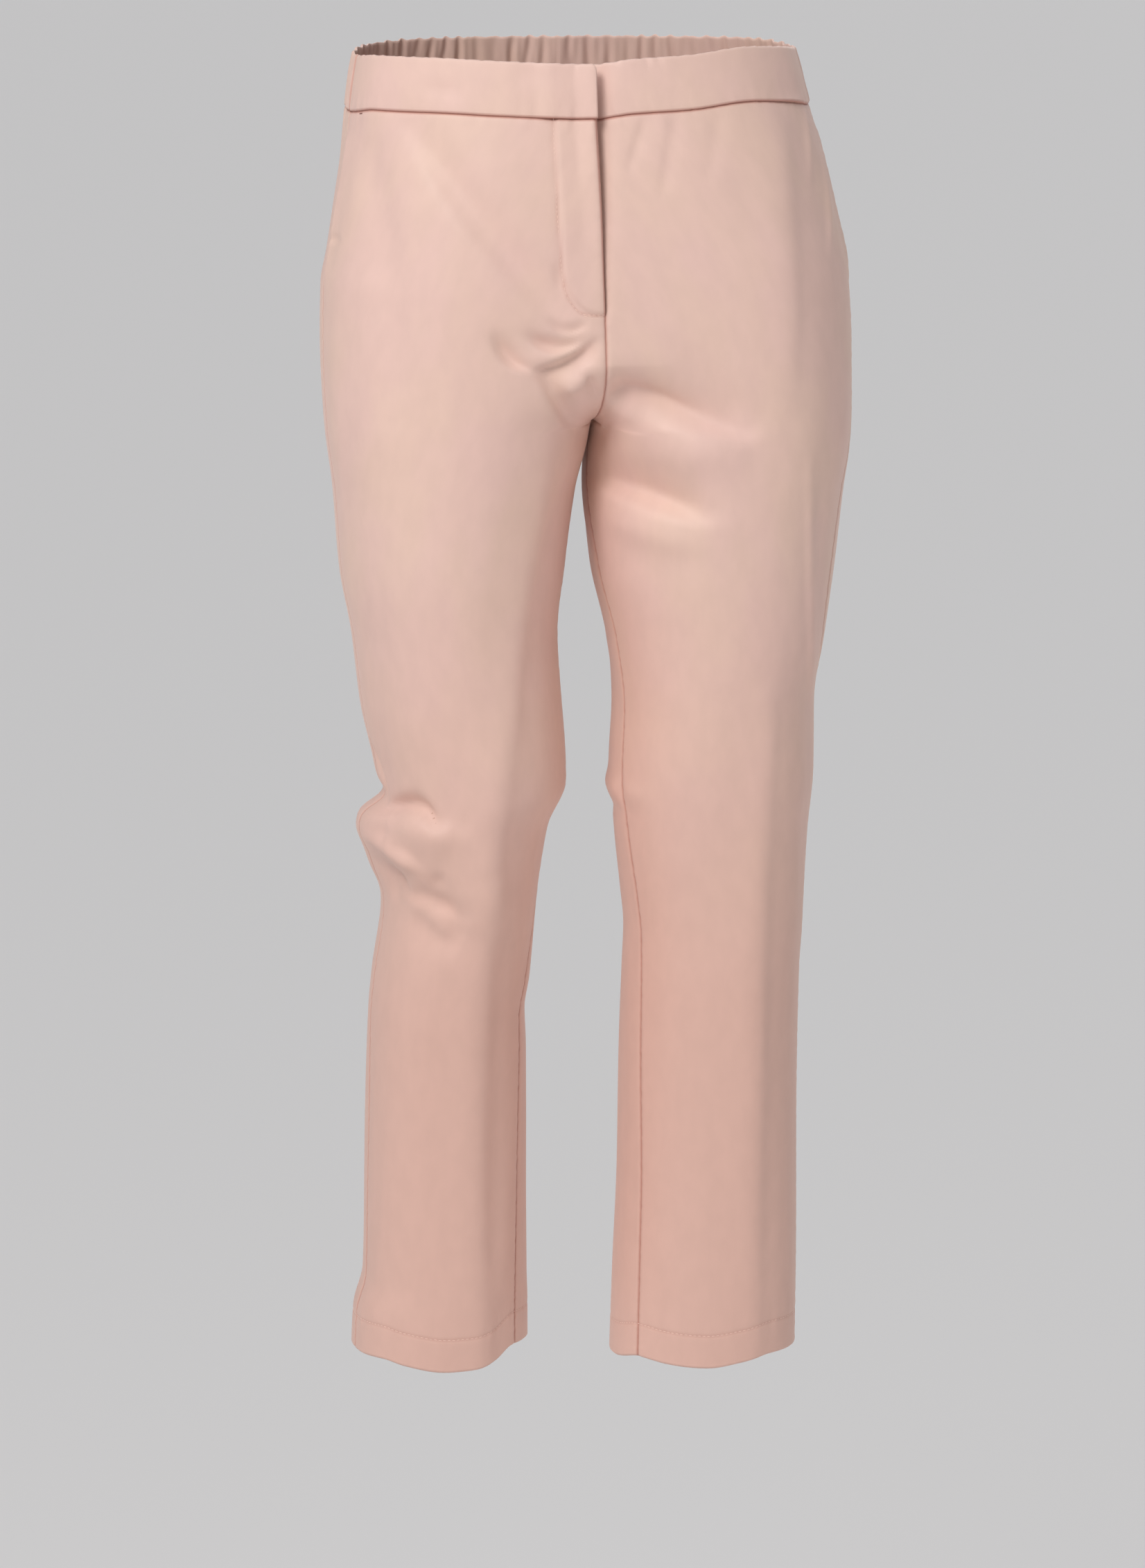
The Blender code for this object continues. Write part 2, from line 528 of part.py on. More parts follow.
def build_back_band(right, left):
    """The elasticated back: side seam to side seam, in even puckers."""
    split = 2 * GATHER_WAVES // sum(BACK_COLUMNS)
    right_points, right_faces = panel_grid(right, "back", band_heights(), split)
    left_points, left_faces = panel_grid(left, "back", band_heights(), split)
    points = np.concatenate([right_points[:, :-1], left_points[:, ::-1]], axis=1)
    faces = np.concatenate([right_faces[:, :-1], left_faces[:, ::-1]], axis=1)
    wave = np.sin(np.arange(points.shape[1]) * math.pi / 2 + GATHER_PHASE)
    outer = points + faces * (BAND_PROUD + np.outer(GATHER_DEPTHS, wave))[:, :, None]
    wall("band_back", outer, outer - faces * BAND_CLOTH, PINK, True)


def build_fly(right, left):
    """The closed zip under the right front's edge, and the shield behind both fronts."""
    heights = [rows[:ZIP_ROWS] for rows in panel_heights("front")]
    right_grid = panel_grid(right, "front", heights)
    left_grid = panel_grid(left, "front", heights)
    every = slice(None)
    fly = len(FLY_COLUMNS)
    layer("fly_zip", cut_out(right_grid, every, slice(0, fly - 1)),
          -CLOTH - SEAM_GAP, ZIP_CLOTH, TAPE_PINK, True)

    # The right front is lifted over the zip, so the shield lies deeper below it.
    right_points, right_faces = cut_out(right_grid, every, slice(fly - 2, None, -1))
    left_points, left_faces = cut_out(left_grid, every, slice(0, 2))
    deeper = right_points - right_faces * FLY_LIFT
    shield = side_by_side((deeper, right_faces), (left_points, left_faces))
    layer("fly_shield", shield, -CLOTH - SEAM_GAP, SHIELD_CLOTH, PINK_INSIDE, False)


for old in list(bpy.data.objects):
    bpy.data.objects.remove(old, do_unlink=True)

right_half = Half(-1, RIGHT_LEVELS, RIGHT_FOLDS, RIGHT_HEM_LIFT)
left_half = Half(1, LEFT_LEVELS, LEFT_FOLDS, LEFT_HEM_LIFT)
build_leg(right_half, "right")
build_leg(left_half, "left")
build_front_bands(right_half, left_half)
build_back_band(right_half, left_half)
build_fly(right_half, left_half)
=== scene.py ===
import math
from collections import namedtuple

import bpy
import numpy as np
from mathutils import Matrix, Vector


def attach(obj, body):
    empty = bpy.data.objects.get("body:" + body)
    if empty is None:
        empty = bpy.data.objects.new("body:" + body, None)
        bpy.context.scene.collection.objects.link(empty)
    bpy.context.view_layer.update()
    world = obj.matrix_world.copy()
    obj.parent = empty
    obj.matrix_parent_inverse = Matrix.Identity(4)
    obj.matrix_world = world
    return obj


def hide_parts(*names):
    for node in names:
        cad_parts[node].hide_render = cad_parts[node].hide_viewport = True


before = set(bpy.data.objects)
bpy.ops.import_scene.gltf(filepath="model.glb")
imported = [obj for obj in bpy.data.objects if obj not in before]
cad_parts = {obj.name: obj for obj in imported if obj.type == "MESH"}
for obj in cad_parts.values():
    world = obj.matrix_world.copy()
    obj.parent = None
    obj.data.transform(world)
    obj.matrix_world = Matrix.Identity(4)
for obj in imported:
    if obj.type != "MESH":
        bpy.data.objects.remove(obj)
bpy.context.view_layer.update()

# ==== the four panels =================================================================
# Two fronts and two backs of mid-weight cotton sateen, cut to shape, pressed, and sewn
# together at the rises, the inseams and the side seams. The cloth is worn, so it stands
# in the form of the body's cut, with drag lines at the crotch and folds at the knees.
CLOTH = 0.0011            # panel cloth
SEAM_GAP = 0.0003
BAND_HEIGHT = 0.036
CROTCH_Z = -0.2525
CROTCH_Y = -0.006
HEM_Z = -0.921
HEM_DEPTH = 0.023         # turn-up at each leg's foot
FRONT_RISE_DROP = 0.056   # height over which the front rise turns under
BACK_RISE_DROP = 0.085
ARC_POWER = 2.12          # outer arcs are a little squarer than an ellipse

# z: level. inner: centre plane above the crotch, nearest point to the other leg below
# it. outer: side. lean: how far from inner (0) to outer (1) the arcs' middle lies.
# mid_y: where the outline is widest. front, back: foremost and hindmost y. side_seam,
# inseam: y at which those seams cross the level.
Level = namedtuple("Level", "z inner outer lean mid_y front back side_seam inseam")
RIGHT_LEVELS = [
    Level(0.010, 0.0020, -0.1480, 0.12, 0.000, -0.0985, 0.097, -0.012, -0.006),
    Level(-0.036, 0.0025, -0.1550, 0.18, 0.000, -0.1030, 0.103, -0.012, -0.006),
    Level(-0.070, 0.0040, -0.1590, 0.26, 0.002, -0.1070, 0.111, -0.012, -0.006),
    Level(-0.110, 0.0060, -0.1650, 0.34, 0.004, -0.1100, 0.121, -0.010, -0.006),
    Level(-0.136, 0.0070, -0.1692, 0.37, 0.004, -0.1110, 0.126, -0.010, -0.006),
    Level(-0.160, 0.0080, -0.1735, 0.40, 0.004, -0.1115, 0.129, -0.010, -0.006),
    Level(-0.200, 0.0095, -0.1742, 0.44, 0.000, -0.1110, 0.129, -0.012, -0.006),
    Level(-0.2525, 0.0105, -0.1725, 0.47, -0.006, -0.1100, 0.122, -0.016, -0.006),
    Level(-0.300, 0.0002, -0.1670, 0.49, -0.004, -0.1080, 0.108, -0.016, -0.016),
    Level(-0.355, -0.0070, -0.1630, 0.50, -0.003, -0.1050, 0.097, -0.015, -0.024),
    Level(-0.400, -0.0118, -0.1550, 0.50, -0.003, -0.1010, 0.088, -0.015, -0.018),
    Level(-0.450, -0.0090, -0.1490, 0.50, -0.004, -0.0980, 0.079, -0.015, -0.018),
    Level(-0.505, -0.0062, -0.1385, 0.50, -0.006, -0.0950, 0.072, -0.016, -0.020),
    Level(-0.535, -0.0185, -0.1375, 0.50, -0.006, -0.0910, 0.068, -0.015, -0.014),
    Level(-0.550, -0.0215, -0.1375, 0.50, -0.005, -0.0895, 0.068, -0.015, -0.016),
    Level(-0.590, -0.0268, -0.1352, 0.50, -0.003, -0.0830, 0.067, -0.013, -0.026),
    Level(-0.645, -0.0310, -0.1422, 0.50, 0.000, -0.0750, 0.069, -0.011, -0.035),
    Level(-0.670, -0.0345, -0.1445, 0.50, 0.000, -0.0730, 0.070, -0.010, -0.036),
    Level(-0.700, -0.0335, -0.1457, 0.50, 0.001, -0.0700, 0.070, -0.010, -0.036),
    Level(-0.790, -0.0335, -0.1482, 0.50, 0.002, -0.0650, 0.069, -0.009, -0.036),
    Level(-0.860, -0.0335, -0.1500, 0.50, 0.002, -0.0635, 0.067, -0.009, -0.037),
    Level(-0.895, -0.0330, -0.1570, 0.50, 0.002, -0.0632, 0.066, -0.009, -0.037),
    Level(-0.930, -0.0330, -0.1590, 0.50, 0.001, -0.0630, 0.065, -0.010, -0.037),
]
LEFT_LEVELS = [
    Level(0.010, 0.0020, 0.1490, 0.12, 0.000, -0.0985, 0.097, -0.012, -0.006),
    Level(-0.036, 0.0025, 0.1625, 0.18, 0.000, -0.1030, 0.103, -0.012, -0.006),
    Level(-0.070, 0.0040, 0.1720, 0.26, 0.002, -0.1070, 0.111, -0.014, -0.006),
    Level(-0.110, 0.0060, 0.1815, 0.34, 0.004, -0.1100, 0.121, -0.016, -0.006),
    Level(-0.155, 0.0080, 0.1908, 0.40, 0.004, -0.1115, 0.129, -0.018, -0.006),
    Level(-0.200, 0.0095, 0.1930, 0.44, 0.000, -0.1110, 0.129, -0.022, -0.006),
    Level(-0.2525, 0.0105, 0.1928, 0.47, -0.006, -0.1100, 0.122, -0.034, -0.006),
    Level(-0.275, 0.0085, 0.1915, 0.48, -0.005, -0.1090, 0.115, -0.040, -0.011),
    Level(-0.300, 0.0072, 0.1880, 0.49, -0.004, -0.1080, 0.108, -0.046, -0.016),
    Level(-0.355, 0.0125, 0.1822, 0.50, -0.003, -0.1030, 0.097, -0.050, -0.026),
    Level(-0.405, 0.0235, 0.1755, 0.50, -0.003, -0.0975, 0.088, -0.044, -0.030),
    Level(-0.450, 0.0282, 0.1685, 0.50, -0.003, -0.0925, 0.079, -0.018, -0.032),
    Level(-0.500, 0.0258, 0.1688, 0.50, -0.003, -0.0870, 0.072, -0.014, -0.033),
    Level(-0.545, 0.0292, 0.1655, 0.50, -0.002, -0.0810, 0.067, -0.013, -0.034),
    Level(-0.590, 0.0345, 0.1638, 0.50, 0.000, -0.0760, 0.067, -0.012, -0.034),
    Level(-0.615, 0.0368, 0.1628, 0.50, 0.000, -0.0740, 0.068, -0.012, -0.034),
    Level(-0.645, 0.0358, 0.1610, 0.50, 0.001, -0.0720, 0.069, -0.011, -0.035),
    Level(-0.700, 0.0340, 0.1602, 0.50, 0.001, -0.0690, 0.070, -0.010, -0.036),
    Level(-0.790, 0.0325, 0.1608, 0.50, 0.002, -0.0660, 0.069, -0.009, -0.037),
    Level(-0.860, 0.0297, 0.1612, 0.50, 0.002, -0.0650, 0.067, -0.009, -0.038),
    Level(-0.930, 0.0272, 0.1606, 0.50, 0.001, -0.0640, 0.065, -0.010, -0.039),
]

# How far the front of the waist and of each hem is lifted, by x.
Lift = namedtuple("Lift", "x rise")
WAIST_LIFT = [
    Lift(-0.155, -0.0050), Lift(-0.140, -0.0016), Lift(-0.110, -0.0014), Lift(-0.060, -0.0032),
    Lift(0.002, -0.0054), Lift(0.028, -0.0022), Lift(0.068, 0.0001), Lift(0.110, 0.0044),
    Lift(0.138, 0.0028), Lift(0.158, -0.0015),
]
WAIST_BACK_LIFT = 0.003
WAIST_LIFT_REACH = 0.126
RIGHT_HEM_LIFT = [
    Lift(-0.158, 0.0062), Lift(-0.141, 0.0078), Lift(-0.127, 0.0050), Lift(-0.096, 0.0012),
    Lift(-0.077, 0.0020), Lift(-0.061, 0.0057), Lift(-0.047, 0.0128), Lift(-0.033, 0.0105),
]
LEFT_HEM_LIFT = [
    Lift(0.027, -0.0065), Lift(0.042, 0.0008), Lift(0.060, -0.0010), Lift(0.090, -0.0025),
    Lift(0.113, 0.0004), Lift(0.135, 0.0032), Lift(0.160, 0.0012),
]
HEM_LIFT_REACH = 0.061
LEVEL_BACK = (-0.02, 0.10)  # y over which a lifted front turns into a level back

# seen: the side that a fold is seen from. a0, z0 to a1, z1: its ends, where a is x for
# front and back and y for outer and inner. bow: how far its middle bends, to the left
# of the way it runs. width: half its breadth. skew: how much narrower its right-hand
# side is. height: how far it stands out (negative for a trough).
Fold = namedtuple("Fold", "seen a0 z0 a1 z1 bow width skew height")


def folds_on(seen, *rows):
    """The folds of a table that are all seen from one side."""
    return [Fold(seen, *row) for row in rows]


RIGHT_FOLDS = [
    # the knee's roll, bent forward round the outer side, and the pinch above it
    *folds_on("outer",
        (-0.05, -0.5255, 0.04, -0.5315, 0, 0.0098, -0.3, 0.0104),
        (-0.05, -0.541, 0.04, -0.548, 0, 0.015, -0.2, 0.0104),
        (-0.034, -0.5115, 0.044, -0.5125, 0, 0.0075, 0, -0.005),
        (-0.03, -0.566, 0.04, -0.568, 0, 0.012, 0, 0.003)),
    *folds_on("front",
        (-0.128, -0.525, -0.092, -0.533, 0, 0.013, -0.3, 0.0074),
        (-0.12, -0.59, -0.085, -0.606, 0, 0.015, 0, -0.0056),
        (-0.07, -0.56, -0.05, -0.61, 0, 0.016, 0, 0.0038),
        (-0.134, -0.519, -0.1036, -0.522, 0.01, 0.0048, 0.3, -0.0072),
        (-0.1371, -0.5413, -0.1269, -0.5388, 0, 0.004, 0, 0.003),
        (-0.134, -0.543, -0.1164, -0.556, 0.001, 0.0055, -0.3, 0.0058),
        (-0.1352, -0.5571, -0.1301, -0.5818, 0.001, 0.004, 0.3, -0.0046),
        (-0.1289, -0.5596, -0.1251, -0.5708, 0, 0.003, 0, -0.0027),
        (-0.1213, -0.5741, -0.0899, -0.5859, 0.002, 0.0075, 0.3, -0.0056),
        (-0.1121, -0.5881, -0.0948, -0.6022, 0, 0.006, 0, 0.003),
        (-0.1076, -0.5599, -0.0994, -0.5661, 0, 0.0055, 0, -0.0028)),
    *folds_on("outer",
        (-0.023, -0.48, -0.036, -0.508, 0, 0.0042, 0.2, -0.003)),
    # the crotch's drag lines
    *folds_on("front",
        (-0.06, -0.18, -0.03, -0.214, 0, 0.01, 0, -0.0012),
        (-0.05, -0.203, -0.01, -0.197, 0, 0.007, 0, 0.0016),
        (-0.0273, -0.1773, -0.0062, -0.1788, -0.0035, 0.0034, 0.2, -0.003),
        (-0.0411, -0.1866, -0.008, -0.1893, -0.0048, 0.0046, 0.3, -0.0056),
        (-0.0645, -0.1871, -0.044, -0.207, -0.0033, 0.0048, 0.3, -0.0058),
        (0.002, -0.1915, -0.034, -0.2105, 0.0027, 0.006, 0.35, -0.007),
        (-0.0325, -0.212, -0.012, -0.246, 0, 0.0055, 0.2, -0.0062),
        (-0.018, -0.225, -0.005, -0.212, 0, 0.006, 0, 0.004),
        (-0.0015, -0.2129, 0.0062, -0.229, 0, 0.0035, 0, -0.0026),
        (-0.116, -0.048, -0.024, -0.169, -0.0032, 0.0115, 0.3, -0.0054),
        (-0.148, -0.052, -0.135, -0.24, 0.007, 0.0105, 0, -0.0036),
        (-0.0245, -0.138, -0.0211, -0.1539, 0, 0.0026, 0, -0.0014)),
    *folds_on("outer",
        (-0.032, -0.1262, -0.012, -0.127, 0, 0.003, 0, -0.0016)),
    # the leg's long turn from its front to its inner side
    *folds_on("front",
        (-0.03, -0.3, -0.06, -0.46, 0, 0.02, 0, -0.003),
        (-0.029, -0.29, -0.069, -0.94, -0.0235, 0.012, -0.2, 0.0046)),
    # under the seat and behind the knee
    *folds_on("back",
        (-0.12, -0.285, -0.035, -0.262, 0, 0.012, 0, -0.005),
        (-0.13, -0.31, -0.05, -0.3, 0, 0.01, 0, 0.003),
        (-0.12, -0.505, -0.04, -0.515, 0, 0.011, 0, -0.0055),
        (-0.125, -0.545, -0.035, -0.538, 0, 0.011, 0, 0.0045),
        (-0.11, -0.575, -0.045, -0.585, 0, 0.01, 0, -0.004),
        (-0.015, -0.232, -0.085, -0.276, 0.004, 0.006, 0.3, -0.0032),
        (-0.14, -0.334, -0.062, -0.318, 0.003, 0.0065, 0.3, -0.0022),
        (-0.02, -0.345, -0.07, -0.322, 0, 0.007, 0, -0.0018),
        (-0.132, -0.492, -0.078, -0.497, 0.004, 0.0055, 0.3, -0.0026),
        (-0.098, -0.529, -0.032, -0.524, 0.003, 0.005, -0.3, 0.0024),
        (-0.128, -0.561, -0.08, -0.566, -0.003, 0.005, 0.3, -0.0026),
        (-0.085, -0.598, -0.04, -0.606, 0, 0.007, 0, 0.0016)),
]
LEFT_FOLDS = [
    # the thigh's two drag folds, which run out from the crotch, and the bulge between
    *folds_on("front",
        (0.002, -0.221, 0.102, -0.2505, 0.001, 0.0115, 0.5, -0.0096),
        (0.018, -0.252, 0.09, -0.269, 0, 0.015, -0.2, 0.0062),
        (0.008, -0.287, 0.076, -0.3075, 0.001, 0.0115, 0.45, -0.0096),
        (0.058, -0.198, 0.108, -0.242, 0, 0.012, 0, -0.0024),
        (0.008, -0.226, 0.064, -0.24, 0.001, 0.005, 0.3, -0.0026),
        (0.014, -0.2385, 0.064, -0.252, 0.001, 0.007, -0.2, 0.0024),
        (0.018, -0.294, 0.06, -0.305, 0.001, 0.0065, 0.3, -0.0022),
        (0.022, -0.318, 0.07, -0.329, 0, 0.011, 0, 0.003)),
    # puckers under the waistband, and the hip's soft hollow
    *folds_on("front",
        (0.0365, -0.04, 0.0255, -0.0735, 0, 0.0042, 0.3, -0.0012),
        (0.0565, -0.04, 0.0477, -0.0902, 0, 0.005, 0.3, -0.0013),
        (0.086, -0.04, 0.08, -0.08, 0, 0.005, 0, -0.0008),
        (0.13, -0.05, 0.133, -0.23, 0, 0.014, -0.4, 0.003)),
    *folds_on("outer",
        (-0.044, -0.044, -0.063, -0.0865, 0, 0.0034, 0, 0.0012),
        (-0.033, -0.0711, -0.062, -0.1338, 0.002, 0.0045, 0.2, 0.0016)),
    # the side of the thigh, down to its kink
    *folds_on("outer",
        (-0.01, -0.452, 0.05, -0.44, 0, 0.01, 0, -0.003)),
    *folds_on("front",
        (0.1509, -0.275, 0.1618, -0.45, -0.001, 0.0038, 0.2, 0.0016)),
    # the knee's inner pinch and the shin's long turn outwards
    *folds_on("inner",
        (-0.05, -0.512, 0.03, -0.512, 0, 0.008, 0, 0.003),
        (-0.04, -0.527, 0.02, -0.529, 0, 0.005, 0, -0.0014)),
    *folds_on("front",
        (0.122, -0.5, 0.116, -0.8, 0, 0.02, 0, 0.0025),
        (0.125, -0.44, 0.123, -0.93, -0.0055, 0.011, -0.3, 0.0036)),
    # under the seat and behind the knee
    *folds_on("back",
        (0.035, -0.262, 0.13, -0.288, 0, 0.012, 0, -0.005),
        (0.05, -0.3, 0.14, -0.313, 0, 0.01, 0, 0.003),
        (0.05, -0.52, 0.14, -0.508, 0, 0.011, 0, -0.005),
        (0.045, -0.548, 0.145, -0.545, 0, 0.011, 0, 0.004),
        (0.055, -0.588, 0.13, -0.58, 0, 0.01, 0, -0.0035),
        (0.02, -0.23, 0.092, -0.279, -0.004, 0.006, -0.3, -0.003),
        (0.072, -0.326, 0.15, -0.338, 0, 0.0065, 0.3, -0.002),
        (0.092, -0.496, 0.152, -0.489, 0.003, 0.0055, 0.3, -0.0024),
        (0.04, -0.531, 0.106, -0.535, -0.003, 0.005, 0.3, 0.0022),
        (0.086, -0.566, 0.146, -0.56, 0.003, 0.005, 0.3, -0.0024),
        (0.05, -0.61, 0.1, -0.603, 0, 0.007, 0, 0.0014)),
]
FOLD_BREADTH = (1.15, 0.5)  # a fold's breadth at its middle, and how much its ends lose
FOLD_ENDS_LOSE = 0.6        # how much of its height a fold has lost at its ends
FOLD_TURN = 0.45            # a fold is full where the cloth faces its side this much

FLY_WIDTH = 0.028
FLY_END_Z = -0.172
FLY_CORNER = 0.030          # the fly's foot rises this much at its far edge
FLY_LIFT = 0.0016           # the fly laps over the zip
FLY_ROLL = 0.003
FLY_PAST = 0.004            # the fly and the hollow beside it end this far below its foot
FLY_GAPE = 0.0050           # its edge stands this much further off at the waistband
FLY_GAPE_WIDTH = 0.015
LAP_HOLLOW = 0.0052         # the left front sinks away beside the fly's edge
LAP_HOLLOW_WIDTH = 0.0085
LAP_FOOT, LAP_FOOT_WIDTH = 0.35, 0.45      # shares of that depth and width left at its foot
LAP_BELOW = 0.01            # it sets in from this far below the foot to as far above it
# The line that the fly is stitched along: run from the centre front, and level.
FLY_LINE = [(0.0278, -0.0365), (0.0290, -0.0850), (0.0290, -0.1120), (0.0278, -0.1410),
            (0.0254, -0.1567), (0.0208, -0.1656), (0.0144, -0.1708), (0.0008, -0.1715)]
STITCH_SINK = 0.00045       # a stitched line presses in this deep, and this broad
STITCH_BREADTH = 0.0014

SEAM_SINK = 0.0007          # a sewn seam lies this deep
SEAM_WIDTH = 0.0017
PUCKER = 0.00022            # the seam's thread draws the cloth up
PUCKER_REACH = 0.006
WAIST_WIDTH = 0.0016        # the ditch below the waistband
WAIST_PUCKER, WAIST_PUCKER_REACH = 0.0003, 0.009
HEM_SINK = 0.0004
HEM_PUCKER, HEM_PUCKER_REACH = 0.00028, 0.007
SEAM_HOLD, SEAM_HOLD_REACH = 0.85, 0.006   # rises and inseams keep the folds low beside them
RISE_HELD, RISE_HELD_WIDTH = 0.9, 0.003    # the rises' edges stay at the centre plane
RISE_TURN = 0.0015          # from this height above the crotch
GATHERED_WIDE = (0.0135, 0.0212)           # soft gathers in the backs, below the elastic
GATHERED_DEEP, GATHERED_FAR, GATHERED_FROM = 0.0007, 0.060, 0.02
LINE_SHADE_WIDTH = 0.0009    # painted shade darkens the cloth this near a stitched line, and by these shares
HEM_LINE_SHADE, FLY_LINE_SHADE = 0.28, 0.30
# painted shade along the seams and below the waistband: its share and its breadths
SEAM_SHADE, SEAM_SHADE_WIDTH, WAIST_SHADE_WIDTH = 0.75, 0.0008, 0.0010
MOUTH_Z = (-0.042, -0.165)  # a pocket opens in each side seam between these heights
MOUTH_GAPE = 0.0016
MOUTH_BACK = -0.3           # the mouth's back edge moves by this share of the front's gape
MOUTH_WIDTH = 0.009
MOUTH_ENDS = (0.02, 0.03)   # over these heights it opens and closes again

TRUNK_ROWS, LEG_ROWS, HEM_ROWS = 140, 230, 26
HEM_ROWS_TOP = 0.029        # the finer rows at the hem begin this far above its edge
FRONT_SPLIT, BACK_SPLIT = 0.45, 0.50   # share of a panel's columns before its crease
FRONT_COLUMNS, BACK_COLUMNS = 92, 76
CREASE_FADE = 0.07          # over this height above the crotch the columns leave the crease
ARC_STEPS = 90
CROTCH_SOFTNESS = 0.010     # the break in slope at the crotch is rounded over this height
SOFTENED_REACH = 0.020      # and felt this far up and down
SOFTENED_FROM = 0.10        # share of a panel, from its rise, over which that sets in


def steady_curve(xs, ys, at):
    """A smooth curve through a table that never swings past its values."""
    steps = np.diff(ys) / np.diff(xs)
    same_way = steps[1:] * steps[:-1] > 0
    both = np.where(same_way, steps[1:] + steps[:-1], 1)
    middle = np.where(same_way, 2 * steps[1:] * steps[:-1] / both, 0)
    slopes = np.concatenate([steps[:1], middle, steps[-1:]])
    at = np.clip(at, xs[0], xs[-1])
    k = np.clip(np.searchsorted(xs, at, side="right") - 1, 0, len(xs) - 2)
    width = xs[k + 1] - xs[k]
    t = (at - xs[k]) / width
    return (ys[k] * (1 + 2 * t) * (1 - t) ** 2 + slopes[k] * width * t * (1 - t) ** 2
            + ys[k + 1] * t * t * (3 - 2 * t) + slopes[k + 1] * width * t * t * (t - 1))


def ease(value):
    t = np.clip(value, 0.0, 1.0)
    return t * t * (3 - 2 * t)


def unit(vectors):
    return vectors / np.maximum(np.linalg.norm(vectors, axis=-1, keepdims=True), 1e-12)


# Heights of the outlines that the cloth is read from: every millimetre, and closer
# just above the crotch, where the rise curves under.
heights = np.unique(np.concatenate([np.arange(-0.935, 0.011, 0.001),
                                    CROTCH_Z + 0.02 * np.linspace(0, 1, 60) ** 2]))

# wide, tall and depth of the long soft waves in the cloth
RIPPLES = [(0.016, 0.17, 0.00003), (0.025, 0.29, 0.00006), (0.034, 0.23, 0.00010),
           (0.047, 0.35, 0.00016), (0.062, 0.29, 0.00024), (0.080, 0.41, 0.00032)]


def leg_outlines(sign, table):
    """x, y and run of one half's outline at every height, from its rise or inseam."""
    table = np.array(table)[::-1]
    level = Level(heights, *(steady_curve(table[:, 0], table[:, k], heights) for k in range(1, 9)))
    above = heights > CROTCH_Z

    def seam_angle(y):
        depth = np.where(y < level.mid_y, level.front, level.back) - level.mid_y
        angle = np.arcsin(np.minimum(0.985, np.abs((y - level.mid_y) / depth)))
        return np.where(y < level.mid_y, -angle, angle)

    def rise_y(drop, extreme):
        fall = np.clip((heights - CROTCH_Z) / drop, 0, 1)
        return CROTCH_Y + (extreme - CROTCH_Y) * np.sqrt(1 - (1 - fall) ** 2)

    start = seam_angle(np.where(above, rise_y(FRONT_RISE_DROP, level.front), level.inseam))
    end = seam_angle(np.where(above, rise_y(BACK_RISE_DROP, level.back), level.inseam))
    across = np.abs(level.outer - level.inner)
    outward, inward = across * (1 - level.lean), across * level.lean
    quarter = np.full_like(start, math.pi / 2)
    middle = level.inner + level.lean * (level.outer - level.inner)
    arcs = [(start, -quarter, np.where(above, inward / np.cos(start), inward), 2, -sign),
            (-quarter, 0 * quarter, outward, ARC_POWER, sign),
            (0 * quarter, quarter, outward, ARC_POWER, sign),
            (quarter, end, np.where(above, inward / np.cos(end), inward), 2, -sign)]
    xs, ys = [], []
    for first, last, reach, power, side in arcs:
        share = np.linspace(0, 1, ARC_STEPS)
        angle = first[:, None] + (last - first)[:, None] * share
        depth = np.where(angle < 0, level.front[:, None], level.back[:, None])
        along = np.abs(np.sin(angle)) ** (2 / power)
        x = middle[:, None] + side * reach[:, None] * np.abs(np.cos(angle)) ** (2 / power)
        y = level.mid_y[:, None] + (depth - level.mid_y[:, None]) * along
        xs.append(x if not xs else x[:, 1:])
        ys.append(y if not ys else y[:, 1:])
    x, y = np.concatenate(xs, axis=1), np.concatenate(ys, axis=1)
    run = np.zeros_like(x)
    run[:, 1:] = np.cumsum(np.hypot(np.diff(x, axis=1), np.diff(y, axis=1)), axis=1)
    front_crease, back_crease = ARC_STEPS - 1, 3 * (ARC_STEPS - 1)
    side = slice(front_crease, back_crease + 1)
    seam = np.array([np.interp(s, ys_, run_) for s, ys_, run_ in
                     zip(level.side_seam, y[:, side], run[:, side])])
    return {"sign": sign, "x": x, "y": y, "run": run, "seam": seam,
            "front": run[:, front_crease], "back": run[:, back_crease]}


def spread(leg, panel, shares):
    """x, y and place across the panel of each column, at every height."""
    seam, crease = leg["seam"], leg[panel]
    if panel == "front":
        first, last, split = SEAM_GAP / 2 + 0 * seam, seam - SEAM_GAP / 2, FRONT_SPLIT
        drop, to_rise, beside = FRONT_RISE_DROP, -1, shares < FRONT_SPLIT
        from_crease, reach = 1 - shares / split, crease - first
    else:
        first, last, split = seam + SEAM_GAP / 2, leg["run"][:, -1] - SEAM_GAP / 2, BACK_SPLIT
        drop, to_rise, beside = BACK_RISE_DROP, 1, shares > BACK_SPLIT
        from_crease, reach = (shares - split) / (1 - split), last - crease
    # Where the rise turns under, only the columns close to it follow its quick curve.
    turning = (heights > CROTCH_Z) & (heights < CROTCH_Z + drop)
    ends = [CROTCH_Z, CROTCH_Z + drop]
    steady = np.where(turning, np.interp(heights, ends, np.interp(ends, heights, reach)), reach)
    away = from_crease * (steady[:, None] + (reach - steady)[:, None] * from_crease ** 2)
    first, last, crease = first[:, None], last[:, None], crease[:, None]
    if panel == "front":
        far = crease + (last - crease) * (shares - split) / (1 - split)
    else:
        far = first + (crease - first) * shares / split
    creased = np.where(beside, crease + to_rise * away, far)
    level = first + (last - first) * shares
    places = creased + (level - creased) * ease((heights - CROTCH_Z) / CREASE_FADE)[:, None]
    x = np.array([np.interp(p, r, v) for p, r, v in zip(places, leg["run"], leg["x"])])
    y = np.array([np.interp(p, r, v) for p, r, v in zip(places, leg["run"], leg["y"])])
    from_rise = shares if panel == "front" else 1 - shares
    return softened(x, from_rise), softened(y, from_rise), places


